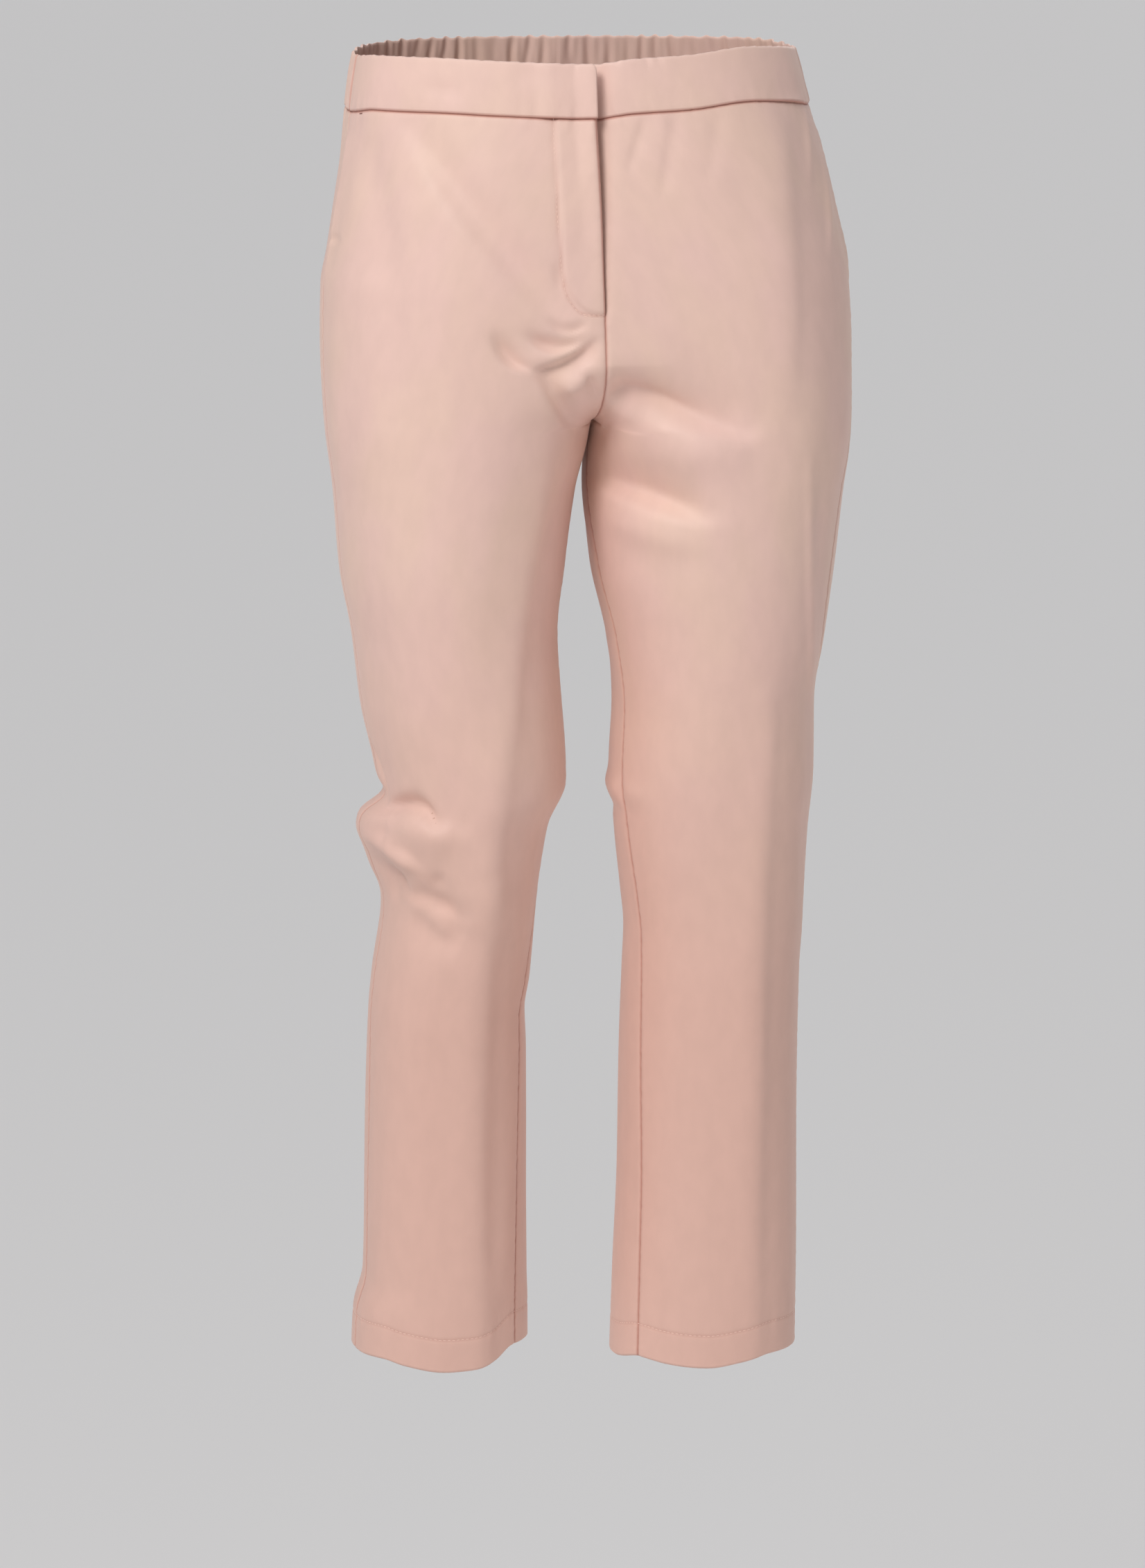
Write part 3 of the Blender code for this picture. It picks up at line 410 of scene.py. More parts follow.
def softened(values, from_rise):
    """Rounds the break in slope at the crotch's level, except close to the rise."""
    step, steps = 0.001, 20
    even = np.arange(CROTCH_Z - 4 * SOFTENED_REACH, CROTCH_Z + 4 * SOFTENED_REACH, step)
    weights = bell(np.arange(-steps, steps + 1) * step, CROTCH_SOFTNESS)
    weights /= weights.sum()
    soft = values.copy()
    for j in range(values.shape[1]):
        line = np.convolve(np.interp(even, heights, values[:, j]), weights, "same")
        inside = np.interp(heights, even[steps:-steps], line[steps:-steps])
        part = bell(heights - CROTCH_Z, SOFTENED_REACH) * ease(from_rise[j] / SOFTENED_FROM)
        soft[:, j] += (inside - values[:, j]) * part
    return soft


def panel_heights(panel):
    """z of the panel's rows at its side and at its rise; they fan out at the crotch."""
    top = -BAND_HEIGHT - SEAM_GAP / 2
    drop = FRONT_RISE_DROP if panel == "front" else BACK_RISE_DROP
    bent = TRUNK_ROWS * 2 // 5
    side = np.linspace(top, CROTCH_Z, TRUNK_ROWS + 1)[:-1]
    turn = CROTCH_Z + drop * (1 - np.cos(np.arange(bent, 0, -1) * math.pi / 2 / bent))
    rise = np.concatenate([np.linspace(top, CROTCH_Z + drop, TRUNK_ROWS - bent + 1)[:-1], turn])
    leg = np.concatenate([np.linspace(CROTCH_Z, HEM_Z + HEM_ROWS_TOP, LEG_ROWS + 1),
                          np.linspace(HEM_Z + HEM_ROWS_TOP, HEM_Z, HEM_ROWS + 1)[1:]])
    return np.concatenate([side, leg]), np.concatenate([rise, leg])


def lay_out(leg, panel, rows, shares):
    """Base points of a panel before its folds, and each point's place across."""
    x, y, places = spread(leg, panel, shares)
    side_z, rise_z = rows
    if panel == "front":
        to_rise = 1 - ease(shares / FRONT_SPLIT)
    else:
        to_rise = ease((shares - BACK_SPLIT) / (1 - BACK_SPLIT))
    z = side_z[:, None] + (rise_z - side_z)[:, None] * to_rise
    read = [np.stack([np.interp(z[:, j], heights, part[:, j]) for j in range(len(shares))], axis=1)
            for part in (x, y, places)]
    return np.stack([read[0], read[1], z], axis=2), read[2]


def lifted(points, hem_lift):
    """The same points with the waist's and the hem's front lifted."""
    x, y, z = np.moveaxis(points, 2, 0)
    to_back = ease((y - LEVEL_BACK[0]) / (LEVEL_BACK[1] - LEVEL_BACK[0]))
    waist, hem = (steady_curve(*np.array(table).T, x) for table in (WAIST_LIFT, hem_lift))
    waist += (WAIST_BACK_LIFT - waist) * to_back
    hem += (0 - hem) * to_back
    waist *= ease((z + WAIST_LIFT_REACH) / (WAIST_LIFT_REACH - BAND_HEIGHT))
    hem *= ease((HEM_Z + HEM_LIFT_REACH - z) / (HEM_LIFT_REACH - HEM_DEPTH))
    return np.stack([x, y, z + waist + hem], axis=2)


def facing(points, sign, closed):
    """Outward direction of the cloth; closed rows run on round the inseam."""
    along = np.gradient(points, axis=1)
    along[closed, 0] = along[closed, -1] = points[closed, 1] - points[closed, -2]
    return unit(sign * np.cross(np.gradient(points, axis=0), along))


def fold_height(folds, sign, points, out):
    """How far all folds together move each point along the way that it faces."""
    x, y, z = np.moveaxis(points, 2, 0)
    looks = {"front": -out[..., 1], "back": out[..., 1],
             "outer": sign * out[..., 0], "inner": -sign * out[..., 0]}
    moved = np.zeros(x.shape)
    for fold in folds:
        place = x if fold.seen in ("front", "back") else y
        run_a, run_z = fold.a1 - fold.a0, fold.z1 - fold.z0
        length = math.hypot(run_a, run_z)
        away_a, away_z = place - fold.a0, z - fold.z0
        share = (away_a * run_a + away_z * run_z) / length ** 2
        inside = np.clip(share, 0, 1)
        beside = (away_z * run_a - away_a * run_z) / length - 4 * fold.bow * inside * (1 - inside)
        past = np.maximum(0, np.abs(share - 0.5) - 0.5) * length
        breadth = fold.width * (FOLD_BREADTH[0] - FOLD_BREADTH[1] * np.abs(inside - 0.5))
        breadth = breadth * (1 + fold.skew * np.tanh(beside / fold.width))
        height = fold.height * (1 - FOLD_ENDS_LOSE * np.abs(2 * inside - 1) ** 3)
        moved += (height * np.exp(-(beside ** 2 + past ** 2) / breadth ** 2)
                  * ease(looks[fold.seen] / FOLD_TURN))
    return moved


def ripple(across, down, seed):
    """The slight unevenness of pressed cloth: long soft waves down the leg."""
    total = np.zeros(across.shape)
    for k, (wide, tall, deep) in enumerate(RIPPLES):
        turn = (seed + k) * 2.399
        total += deep * np.sin(2 * math.pi * (across / wide + down / tall) + turn) \
            * np.sin(2 * math.pi * down / (tall * 1.7) + 1.7 * turn)
    return total


def puckered(along, seed):
    """Uneven small waves along a sewn line."""
    waves = [(0.0091, 1.0), (0.0137, 0.8), (0.0053, 0.6)]
    total = sum(share * np.sin(2 * math.pi * along / length + (k + 1) * seed)
                for k, (length, share) in enumerate(waves))
    return total / sum(share for _, share in waves)


def bell(distance, breadth):
    return np.exp(-(distance / breadth) ** 2)


def rounded(path, steps=8):
    """A smooth line through a short table of points."""
    path = np.array(path, dtype=float)
    ends = np.concatenate([[2 * path[0] - path[1]], path, [2 * path[-1] - path[-2]]])
    t = np.arange(steps)[:, None] / steps
    line = [0.5 * (2 * b + (c - a) * t + (2 * a - 5 * b + 4 * c - d) * t ** 2
                   + (3 * b - a - 3 * c + d) * t ** 3)
            for a, b, c, d in zip(ends[:-3], ends[1:-2], ends[2:-1], ends[3:])]
    return np.concatenate(line + [path[-1:]])


def distance_to(line, across, down):
    """Distance of each place of a panel from a line drawn on it."""
    nearest = np.full(across.shape, np.inf)
    for (a0, b0), (a1, b1) in zip(line[:-1], line[1:]):
        run, fall = a1 - a0, b1 - b0
        share = ((across - a0) * run + (down - b0) * fall) / (run ** 2 + fall ** 2)
        share = np.clip(share, 0, 1)
        nearest = np.minimum(nearest, np.hypot(across - a0 - share * run, down - b0 - share * fall))
    return nearest


def fly_gape(away, z):
    """How far the fly's free edge stands off, more towards the waistband."""
    rise = ease((z - FLY_END_Z) / (-BAND_HEIGHT - FLY_END_Z))
    return FLY_GAPE * rise * ease(1 - away / FLY_GAPE_WIDTH)


def fly_lift(away, z):
    """The right front's lift over the zip, inside the fly's curved foot."""
    foot = FLY_END_Z + FLY_CORNER * np.clip(away / FLY_WIDTH, 0, 1) ** 3
    return FLY_LIFT * ease((FLY_WIDTH - away) / FLY_ROLL) * ease((z - foot) / FLY_ROLL)


def lap_hollow(away, z):
    """How deep the left front lies beside the fly's edge, less towards its foot."""
    narrow = ease((z - FLY_END_Z) / (-BAND_HEIGHT - FLY_END_Z))
    reach = ease((z - FLY_END_Z + LAP_BELOW) / (2 * LAP_BELOW))
    depth = LAP_HOLLOW * (LAP_FOOT + (1 - LAP_FOOT) * narrow) * reach
    width = LAP_HOLLOW_WIDTH * (LAP_FOOT_WIDTH + (1 - LAP_FOOT_WIDTH) * narrow)
    return depth * bell(away, width)


Leg = namedtuple("Leg", "sign lines folds hem_lift seed")


def worn(leg, rows, front_shares, back_shares):
    """Front and back of one half side by side, with their folds and as yet no seams.

    Gives points, their facings, levels, and runs from the rise, its end and the side.
    """
    grids, places = zip(lay_out(leg.lines, "front", rows["front"], front_shares),
                        lay_out(leg.lines, "back", rows["back"], back_shares))
    flat = np.concatenate(grids, axis=1)
    level, place = flat[..., 2], np.concatenate(places, axis=1)
    points = lifted(flat, leg.hem_lift)
    closed = level[:, -1] <= CROTCH_Z
    out = facing(points, leg.sign, closed)
    side = len(front_shares) - 1
    from_rise, to_end = place - place[:, :1], place[:, -1:] - place
    from_side = place - place[:, side:side + 1]
    move = fold_height(leg.folds, leg.sign, points, out) + ripple(from_side, level, leg.seed)
    move *= 1 - SEAM_HOLD * bell(np.minimum(from_rise, to_end), SEAM_HOLD_REACH)
    return points, out, level, from_rise, to_end, from_side, move, closed


def make_cloth(leg):
    """The two panels of one half as grids: points, facings, levels and runs from seams."""
    rows = {panel: panel_heights(panel) for panel in ("front", "back")}
    front_shares, back_shares = crowded(FRONT_COLUMNS), crowded(BACK_COLUMNS)
    points, out, level, from_rise, to_end, from_side, move, closed = worn(
        leg, rows, front_shares, back_shares)
    front = np.arange(points.shape[1]) < len(front_shares)
    near_side = np.abs(from_side)
    for distance, phase in ((from_rise, 1), (to_end, 2), (near_side, 3)):
        move -= SEAM_SINK * bell(distance, SEAM_WIDTH)
        move += PUCKER * puckered(level, phase + leg.seed) * bell(distance, PUCKER_REACH)
    top, foot = MOUTH_Z
    mouth = ease((top - level) / MOUTH_ENDS[0]) * ease((level - foot) / MOUTH_ENDS[1])
    move += mouth * MOUTH_GAPE * np.where(front, 1, MOUTH_BACK) * bell(near_side, MOUTH_WIDTH)

    # The waist seam's ditch and puckers, and the hem's stitched line with its own.
    to_band, to_hem = level + BAND_HEIGHT, level - HEM_Z - HEM_DEPTH
    move -= SEAM_SINK * bell(to_band, WAIST_WIDTH) + HEM_SINK * bell(to_hem, STITCH_BREADTH)
    move += WAIST_PUCKER * puckered(from_side, leg.seed + 7) * bell(to_band, WAIST_PUCKER_REACH)
    move += HEM_PUCKER * puckered(from_side, leg.seed + 9) * bell(to_hem, HEM_PUCKER_REACH)

    # The right front laps over the zip and the left one lies hollow beside its edge.
    upper = front & (level > FLY_END_Z - FLY_PAST)
    line = distance_to(rounded(FLY_LINE), from_rise, level)
    proud = np.zeros(move.shape)
    # Painted shade along the hem's and the fly's stitched lines.
    stitched = HEM_LINE_SHADE * bell(to_hem, LINE_SHADE_WIDTH)
    if leg.sign < 0:
        proud = np.where(upper, fly_lift(from_rise, level) + fly_gape(from_rise, level), 0)
        proud -= np.where(front, STITCH_SINK * bell(line, STITCH_BREADTH), 0)
        stitched += np.where(front, FLY_LINE_SHADE * bell(line, LINE_SHADE_WIDTH), 0)
    else:
        proud = np.where(upper, -lap_hollow(from_rise, level), 0)
    # The elastic draws the back panel up into soft gathers below the waistband.
    below_band = ease(1 + to_band / GATHERED_FAR)
    narrow, wide = (2 * math.pi * from_side / width for width in GATHERED_WIDE)
    gathers = GATHERED_DEEP * (np.sin(narrow + leg.seed) + 0.7 * np.sin(wide))
    move += np.where(front, 0, gathers * below_band ** 2 * ease(near_side / GATHERED_FROM))

    shift = out * (move + proud)[..., None]
    shift[..., 0] *= 1 - beside_rise(np.minimum(from_rise, to_end), level)
    points = points + shift
    out = facing(points, leg.sign, closed)
    # Painted shade in the seams, below the waistband and along the stitched lines, which darkens
    # the cloth's colour.
    seams = np.minimum(np.minimum(from_rise, to_end), near_side)
    painted_groove_shade = np.clip(SEAM_SHADE * bell(seams, SEAM_SHADE_WIDTH)
                    + bell(to_band, WAIST_SHADE_WIDTH) + stitched, 0, 1)
    cloth = {}
    for panel, part in (("front", front), ("back", ~front)):
        crease = np.interp(level[:, part], heights, leg.lines[panel] - leg.lines["seam"])
        cloth[panel] = {"points": points[:, part], "out": out[:, part], "level": level[:, part],
                        "edge": (from_rise if panel == "front" else to_end)[:, part],
                        "side": near_side[:, part], "across": from_side[:, part] - crease,
                        "proud": proud[:, part], "painted_groove_shade": painted_groove_shade[:, part]}
    return cloth


def beside_rise(away, level):
    """How far a point is held to the centre plane, so that the rises stay closed."""
    return RISE_HELD * bell(away, RISE_HELD_WIDTH) * ease((level - CROTCH_Z) / RISE_TURN)


def crowded(count, crowding=0.55):
    """Shares of a row, closer together towards both of its ends."""
    even = np.linspace(0, 1, count + 1)
    return even - crowding * np.sin(2 * math.pi * even) / (2 * math.pi)


def linear(code, alpha=1.0):
    """An sRGB hex colour as linear values."""
    values = [int(code[k:k + 2], 16) / 255 for k in (1, 3, 5)]
    return (*(v / 12.92 if v <= 0.04045 else ((v + 0.055) / 1.055) ** 2.4 for v in values), alpha)


def add_node(tree, kind, settings=None, inputs=None):
    """Adds a node: settings are its properties, inputs its values or the sockets linked."""
    made = tree.nodes.new(kind)
    for key, value in (settings or {}).items():
        setattr(made, key, value)
    for key, value in (inputs or {}).items():
        if isinstance(value, bpy.types.NodeSocket):
            tree.links.new(value, made.inputs[key])
        else:
            made.inputs[key].default_value = value
    return made


def finish_of(name, roughness, sheen, ior):
    material = bpy.data.materials.new(name)
    material.use_nodes = True
    shader = material.node_tree.nodes["Principled BSDF"]
    shader.inputs["Roughness"].default_value = roughness
    shader.inputs["IOR"].default_value = ior
    shader.inputs["Specular IOR Level"].default_value = 0.35
    shader.inputs["Sheen Weight"].default_value = sheen
    shader.inputs["Sheen Roughness"].default_value = 0.5
    shader.inputs["Sheen Tint"].default_value = linear("#FFE9DF")
    return material, shader


# Width and height of the cloth's dyed patches, its fine mottle and its threads. Real
# threads lie 0.2 mm apart, too fine to show, so they are drawn 0.9 mm apart.
PATCH, MOTTLE, THREAD = (0.060, 0.110), (0.011, 0.020), (0.0009, 0.012)
LOWER_SHADE_FROM, LOWER_SHADE_TO = -0.34, -0.66      # painted shade: the legs darken between these levels


def sateen(name, pink, peach, lower_leg_shade, painted_groove_shade, roughness, sheen):
    """Cotton sateen: warp threads float over four wefts, so its face is smooth, with a
    soft even lustre. Piece dyeing leaves faint patches between pink and peach. Painted
    shade darkens the legs below the knee, and painted shade darkens the seams and the
    stitched lines."""
    material, shader = finish_of(name, roughness, sheen, 1.46)
    tree = material.node_tree
    place = add_node(tree, "ShaderNodeUVMap", {"uv_map": "cut"}).outputs["UV"]

    def cloth_noise(size):
        turned = add_node(tree, "ShaderNodeMapping", None,
                          {"Vector": place, "Scale": (1 / size[0], 1 / size[1], 1)})
        return add_node(tree, "ShaderNodeTexNoise", {"noise_dimensions": "2D"},
                        {"Vector": turned.outputs["Vector"], "Scale": 1.0,
                         "Detail": 2.0, "Roughness": 0.5}).outputs["Fac"]

    def ranged(value, low, high, to_low, to_high):
        return add_node(tree, "ShaderNodeMapRange", None,
                        {"Value": value, "From Min": low, "From Max": high,
                         "To Min": to_low, "To Max": to_high}).outputs["Result"]

    def mixed(share, first, second):
        return add_node(tree, "ShaderNodeMix", {"data_type": "RGBA"},
                        {0: share, 6: first, 7: second}).outputs[2]

    patches = ranged(cloth_noise(PATCH), 0.35, 0.65, 0.0, 1.0)
    mottle = ranged(cloth_noise(MOTTLE), 0.30, 0.70, 0.985, 1.015)
    threads = cloth_noise(THREAD)
    level = add_node(tree, "ShaderNodeSeparateXYZ", None, {"Vector": place}).outputs["Y"]
    # Painted shade: the colour darkens down the legs below the knee.
    tone = mixed(ranged(level, LOWER_SHADE_FROM, LOWER_SHADE_TO, 0.0, 1.0),
                 mixed(patches, linear(pink), linear(peach)), linear(lower_leg_shade))
    toned = add_node(tree, "ShaderNodeVectorMath", {"operation": "SCALE"},
                     {0: tone, "Scale": mottle}).outputs["Vector"]
    # Painted shade: the mesh's attribute darkens the colour along seams and stitched lines.
    sunk = add_node(tree, "ShaderNodeAttribute", {"attribute_name": "painted_groove_shade"}).outputs["Fac"]
    tree.links.new(mixed(ranged(sunk, 0.0, 1.0, 0.0, 0.75), toned, linear(painted_groove_shade)),
                   shader.inputs["Base Color"])
    tree.links.new(ranged(threads, 0.25, 0.75, roughness - 0.03, roughness + 0.04),
                   shader.inputs["Roughness"])
    bump = add_node(tree, "ShaderNodeBump", None,
                    {"Height": threads, "Strength": 0.12, "Distance": 0.00008})
    tree.links.new(bump.outputs["Normal"], shader.inputs["Normal"])
    return material


# The last two colours of each are painted shade: one below the knee, one in seams and stitched
# lines.
face_sateen = sateen("pink cotton sateen, face",
                     "#E6C6BC", "#E6C8BA", "#DDB8AB", "#A8604F", 0.55, 0.25)
back_sateen = sateen("pink cotton sateen, reverse",
                     "#D3AEA0", "#D2B09C", "#CBA293", "#9A5A4B", 0.75, 0.12)


EDGE_BULGE = 0.42           # how far a sheet's edge is rounded, in its own thicknesses


def stand(name, data):
    """An object of the scene with this data."""
    made = bpy.data.objects.new(name, data)
    bpy.context.scene.collection.objects.link(made)
    return made


def shell(name, outer, inner, cut, painted_groove_shade=None, faces=(0, 1)):
    """A closed thin sheet between two grids, with rounded edges; cut is its flat map.

    faces says which finish lies outside and inside: 0 the cloth's face, 1 its reverse.
    """
    rows, columns = outer.shape[:2]
    count = rows * columns
    index = np.arange(count).reshape(rows, columns)
    a, b = index[:-1, :-1], index[:-1, 1:]
    c, d = index[1:, 1:], index[1:, :-1]
    face_quads = np.stack([a, d, c, b], axis=-1).reshape(-1, 4)
    back_quads = face_quads[:, ::-1] + count
    rim = np.concatenate([index[0], index[1:, -1], index[-1, -2::-1], index[-2:0:-1, 0]])
    away = np.zeros_like(outer)
    away[0] += unit(outer[0] - outer[1])
    away[-1] += unit(outer[-1] - outer[-2])
    away[:, 0] += unit(outer[:, 0] - outer[:, 1])
    away[:, -1] += unit(outer[:, -1] - outer[:, -2])
    thick = np.linalg.norm(outer - inner, axis=2, keepdims=True)
    edge = (outer + inner) / 2 + away * thick * EDGE_BULGE
    points = np.concatenate([outer.reshape(-1, 3), inner.reshape(-1, 3),
                             edge.reshape(-1, 3)[rim]])
    middle = 2 * count + np.arange(len(rim))
    following, next_middle = np.roll(rim, -1), np.roll(middle, -1)
    rim_quads = np.concatenate([
        np.stack([rim, following, next_middle, middle], axis=1),
        np.stack([middle, next_middle, following + count, rim + count], axis=1)])
    quads = np.concatenate([face_quads, back_quads, rim_quads])
    # A left-handed grid faces inwards, so its faces are turned round.
    p, q, r = points[a[0, 0]], points[b[0, 0]], points[d[0, 0]]
    if np.dot(np.cross(r - p, q - p), outer[0, 0] - inner[0, 0]) < 0:
        quads = quads[:, ::-1]
    mesh = bpy.data.meshes.new(name)
    mesh.from_pydata(points.tolist(), [], quads.tolist())
    flat = np.concatenate([cut.reshape(-1, 2), cut.reshape(-1, 2), cut.reshape(-1, 2)[rim]])
    corners = np.zeros(len(mesh.loops), dtype=np.int32)
    mesh.loops.foreach_get("vertex_index", corners)
    mesh.uv_layers.new(name="cut").data.foreach_set("uv", flat[corners].ravel())
    # The painted shade of seams and stitched lines, as a mesh attribute that darkens the colour.
    sunk = np.zeros(len(points))
    if painted_groove_shade is not None:
        sunk[:count] = painted_groove_shade.ravel()
        sunk[2 * count:] = painted_groove_shade.ravel()[rim]
    mesh.attributes.new("painted_groove_shade", "FLOAT", "POINT").data.foreach_set("value", sunk)
    for face in faces:
        mesh.materials.append((face_sateen, back_sateen)[face])
    worn_side = np.zeros(len(quads), dtype=np.int32)
    worn_side[len(face_quads):2 * len(face_quads)] = 1
    mesh.polygons.foreach_set("material_index", worn_side)
    mesh.shade_smooth()
    return stand(name, mesh)


def part_of(grid, rows=slice(None), columns=slice(None), counted="edge", way=1):
    """Some rows and columns of a grid, with its run counted from its edge or its side."""
    part = {key: values[rows][:, columns] for key, values in grid.items()}
    part["run"] = way * part[counted]
    return part


def side_by_side(first, second):
    """Two grids with the same rows as one."""
    return {key: np.concatenate([first[key], second[key]], axis=1) for key in first}


def layer(name, grid, deep, thick, faces=(0, 1)):
    """A sheet that lies some way deep inside a grid."""
    outer = grid["points"] - grid["out"] * deep[..., None]
    cut = np.stack([grid["run"], grid["level"]], axis=2)
    return shell(name, outer, outer - grid["out"] * thick, cut, faces=faces)


def settle(piece, node):
    """Puts a cloth piece on the body's root and hides its solid."""
    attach(piece, "root")
    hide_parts(node)


right = Leg(-1, leg_outlines(-1, RIGHT_LEVELS), RIGHT_FOLDS, RIGHT_HEM_LIFT, 1)
left = Leg(1, leg_outlines(1, LEFT_LEVELS), LEFT_FOLDS, LEFT_HEM_LIFT, 5)
cloth = {"right": make_cloth(right), "left": make_cloth(left)}
HEM_FOLD = 0.0025           # the panel turns up at its foot, two cloths thick
HEM_ROLL = 0.0035
FLY_DOUBLED = 0.45          # the fly's free edge is doubled, by this share of its gape
for side in ("right", "left"):
    for panel, grid in cloth[side].items():
        depth = CLOTH + (HEM_FOLD - CLOTH) * ease((HEM_Z + HEM_ROLL - grid["level"]) / HEM_ROLL)
        if side == "right" and panel == "front":
            depth = depth + FLY_DOUBLED * fly_gape(grid["edge"], grid["level"])
        cut = np.stack([grid["across"], grid["level"]], axis=2)
        wall = grid["out"] * depth[..., None]
        wall[..., 0] *= 1 - beside_rise(grid["edge"], grid["level"])
        piece = shell(f"{panel}_{side}_cloth", grid["points"], grid["points"] - wall, cut,
                      grid["painted_groove_shade"])
        settle(piece, f"{panel}_{side}")

# ==== the thread ======================================================================
# Cotton-wrapped sewing thread, a shade lighter than the cloth. A machine sews it 3.2 mm
# at a time, round the hems and down the fly; darker thread tacks the pocket's mouth.
PITCH = 0.0032
STITCH_LENGTH = 0.0024
STITCH_THICK = 0.0005
STITCH_PROUD = 0.00005      # the stitches' middle lies this far above the sunk cloth
thread, thread_shader = finish_of("cotton-wrapped thread", 0.5, 0.2, 1.5)
thread_shader.inputs["Base Color"].default_value = linear("#F0D3C6")
dark_thread, dark_shader = finish_of("dark tacking thread", 0.55, 0.1, 1.5)
dark_shader.inputs["Base Color"].default_value = linear("#7C4E44")

stitches = bpy.data.node_groups.new("stitches along a line", "GeometryNodeTree")
slots = {}
for label, kind, way in (("Line", "Geometry", "INPUT"), ("Pitch", "Float", "INPUT"),
                         ("Length", "Float", "INPUT"), ("Thickness", "Float", "INPUT"),
                         ("Thread", "Material", "INPUT"), ("Seam", "Geometry", "OUTPUT")):
    socket = stitches.interface.new_socket(label, in_out=way, socket_type=f"NodeSocket{kind}")
    slots[label] = socket.identifier
given = add_node(stitches, "NodeGroupInput").outputs
line = add_node(stitches, "GeometryNodeMeshToCurve", None, {"Mesh": given["Line"]})
spots = add_node(stitches, "GeometryNodeCurveToPoints", {"mode": "LENGTH"},
                 {"Curve": line.outputs["Curve"], "Length": given["Pitch"]})
size = add_node(stitches, "ShaderNodeCombineXYZ", None,
                {"X": given["Thickness"], "Y": given["Thickness"], "Z": given["Length"]})
bead = add_node(stitches, "GeometryNodeMeshUVSphere", None,
                {"Segments": 6, "Rings": 4, "Radius": 0.5})
sewn = add_node(stitches, "GeometryNodeInstanceOnPoints", None,
                {"Points": spots.outputs["Points"], "Instance": bead.outputs["Mesh"],
                 "Rotation": spots.outputs["Rotation"], "Scale": size.outputs["Vector"]})
real = add_node(stitches, "GeometryNodeRealizeInstances", None,
                {"Geometry": sewn.outputs["Instances"]})
smooth = add_node(stitches, "GeometryNodeSetShadeSmooth", None,
                  {"Geometry": real.outputs["Geometry"]})
coloured = add_node(stitches, "GeometryNodeSetMaterial", None,
                    {"Geometry": smooth.outputs["Geometry"], "Material": given["Thread"]})
add_node(stitches, "NodeGroupOutput", None, {"Seam": coloured.outputs["Geometry"]})


def sew(name, node, paths, pitch=PITCH, length=STITCH_LENGTH, thick=STITCH_THICK, yarn=thread):
    """Stitches along lines in space, as one plain mesh on the body's root; node is not used."""
    points, edges = [], []
    for path in paths:
        edges += [(len(points) + k, len(points) + k + 1) for k in range(len(path) - 1)]
        points += np.asarray(path).tolist()
    mesh = bpy.data.meshes.new(name)
    mesh.from_pydata(points, edges, [])
    seam = stand(name, mesh)
    machine = seam.modifiers.new("stitches", "NODES")
    machine.node_group = stitches
    for label, value in (("Pitch", pitch), ("Length", length),
                         ("Thickness", thick), ("Thread", yarn)):
        machine[slots[label]] = value
    sewn_seam = seam.evaluated_get(bpy.context.evaluated_depsgraph_get())
    made = bpy.data.meshes.new_from_object(sewn_seam)
    seam.modifiers.clear()
    seam.data = made
    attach(seam, "root")


def level_line(grid, level, above):
    """A line across a panel at a level, a little above its face."""
    face = grid["points"] + grid["out"] * above
    return np.stack([[np.interp(-level, -grid["level"][:, j], face[:, j, k]) for k in range(3)]
                     for j in range(face.shape[1])])


def on_cloth(grid, away, level, above):
    """The point of a panel at a run from its edge and a level, a little above its face."""
    miss = (grid["edge"] - away) ** 2 + (grid["level"] - level) ** 2
    i, j = np.unravel_index(np.argmin(miss), miss.shape)
    i, j = min(max(i, 1), miss.shape[0] - 2), min(max(j, 1), miss.shape[1] - 2)
    face = grid["points"] + grid["out"] * above
    down = [(v[i + 1, j] - v[i - 1, j]) / 2 for v in (grid["edge"], grid["level"], face)]
    over = [(v[i, j + 1] - v[i, j - 1]) / 2 for v in (grid["edge"], grid["level"], face)]
    steps = np.linalg.solve([[down[0], over[0]], [down[1], over[1]]],
                            [away - grid["edge"][i, j], level - grid["level"][i, j]])
    return face[i, j] + down[2] * steps[0] + over[2] * steps[1]


for side in ("right", "left"):
    for panel, grid in cloth[side].items():
        sew(f"{panel}_{side}_hem_stitches", f"{panel}_{side}",
            [level_line(grid, HEM_Z + HEM_DEPTH, -STITCH_PROUD)])

# ==== the pockets =====================================================================
# A pocket opens in each side seam. A strip of the same cloth faces the back of its
# mouth, and on the right pocket a short tack of dark thread holds the mouth's upper end.
FACING_Z = (-0.052, -0.150)
FACING_FRONT, FACING_BACK = 0.022, 0.010   # how far the strip runs on from the side seam
FACING_CLOTH = 0.0010
UNDER = CLOTH + 0.0004      # a layer below a panel starts this deep
MOUTH_ROW = 60              # a row of the panels that crosses the mouth
TACK_LENGTH = 0.0034
TACK_PLACE = (-0.1485, -0.0405)            # x and z of the tack
TACK_PROUD = 0.0001
TACK_STITCHES = {"pitch": 0.0007, "length": 0.0009, "thick": 0.0008}
for side in ("right", "left"):
    front, back = cloth[side]["front"], cloth[side]["back"]
    rows = (front["level"][:, -1] < FACING_Z[0]) & (front["level"][:, -1] > FACING_Z[1])
    near = np.flatnonzero(front["side"][MOUTH_ROW] < FACING_FRONT)
    far = np.flatnonzero(back["side"][MOUTH_ROW] < FACING_BACK)[1:]
    joined = side_by_side(part_of(front, rows, near, "side", -1),
                          part_of(back, rows, far, "side"))
    sunk = UNDER + MOUTH_GAPE * bell(joined["side"], MOUTH_WIDTH)
    strip = layer(f"pocket_facing_{side}_cloth", joined, sunk, FACING_CLOTH)
    settle(strip, f"pocket_facing_{side}")
face = cloth["right"]["front"]
miss = np.linalg.norm(face["points"][..., [0, 2]] - TACK_PLACE, axis=2)
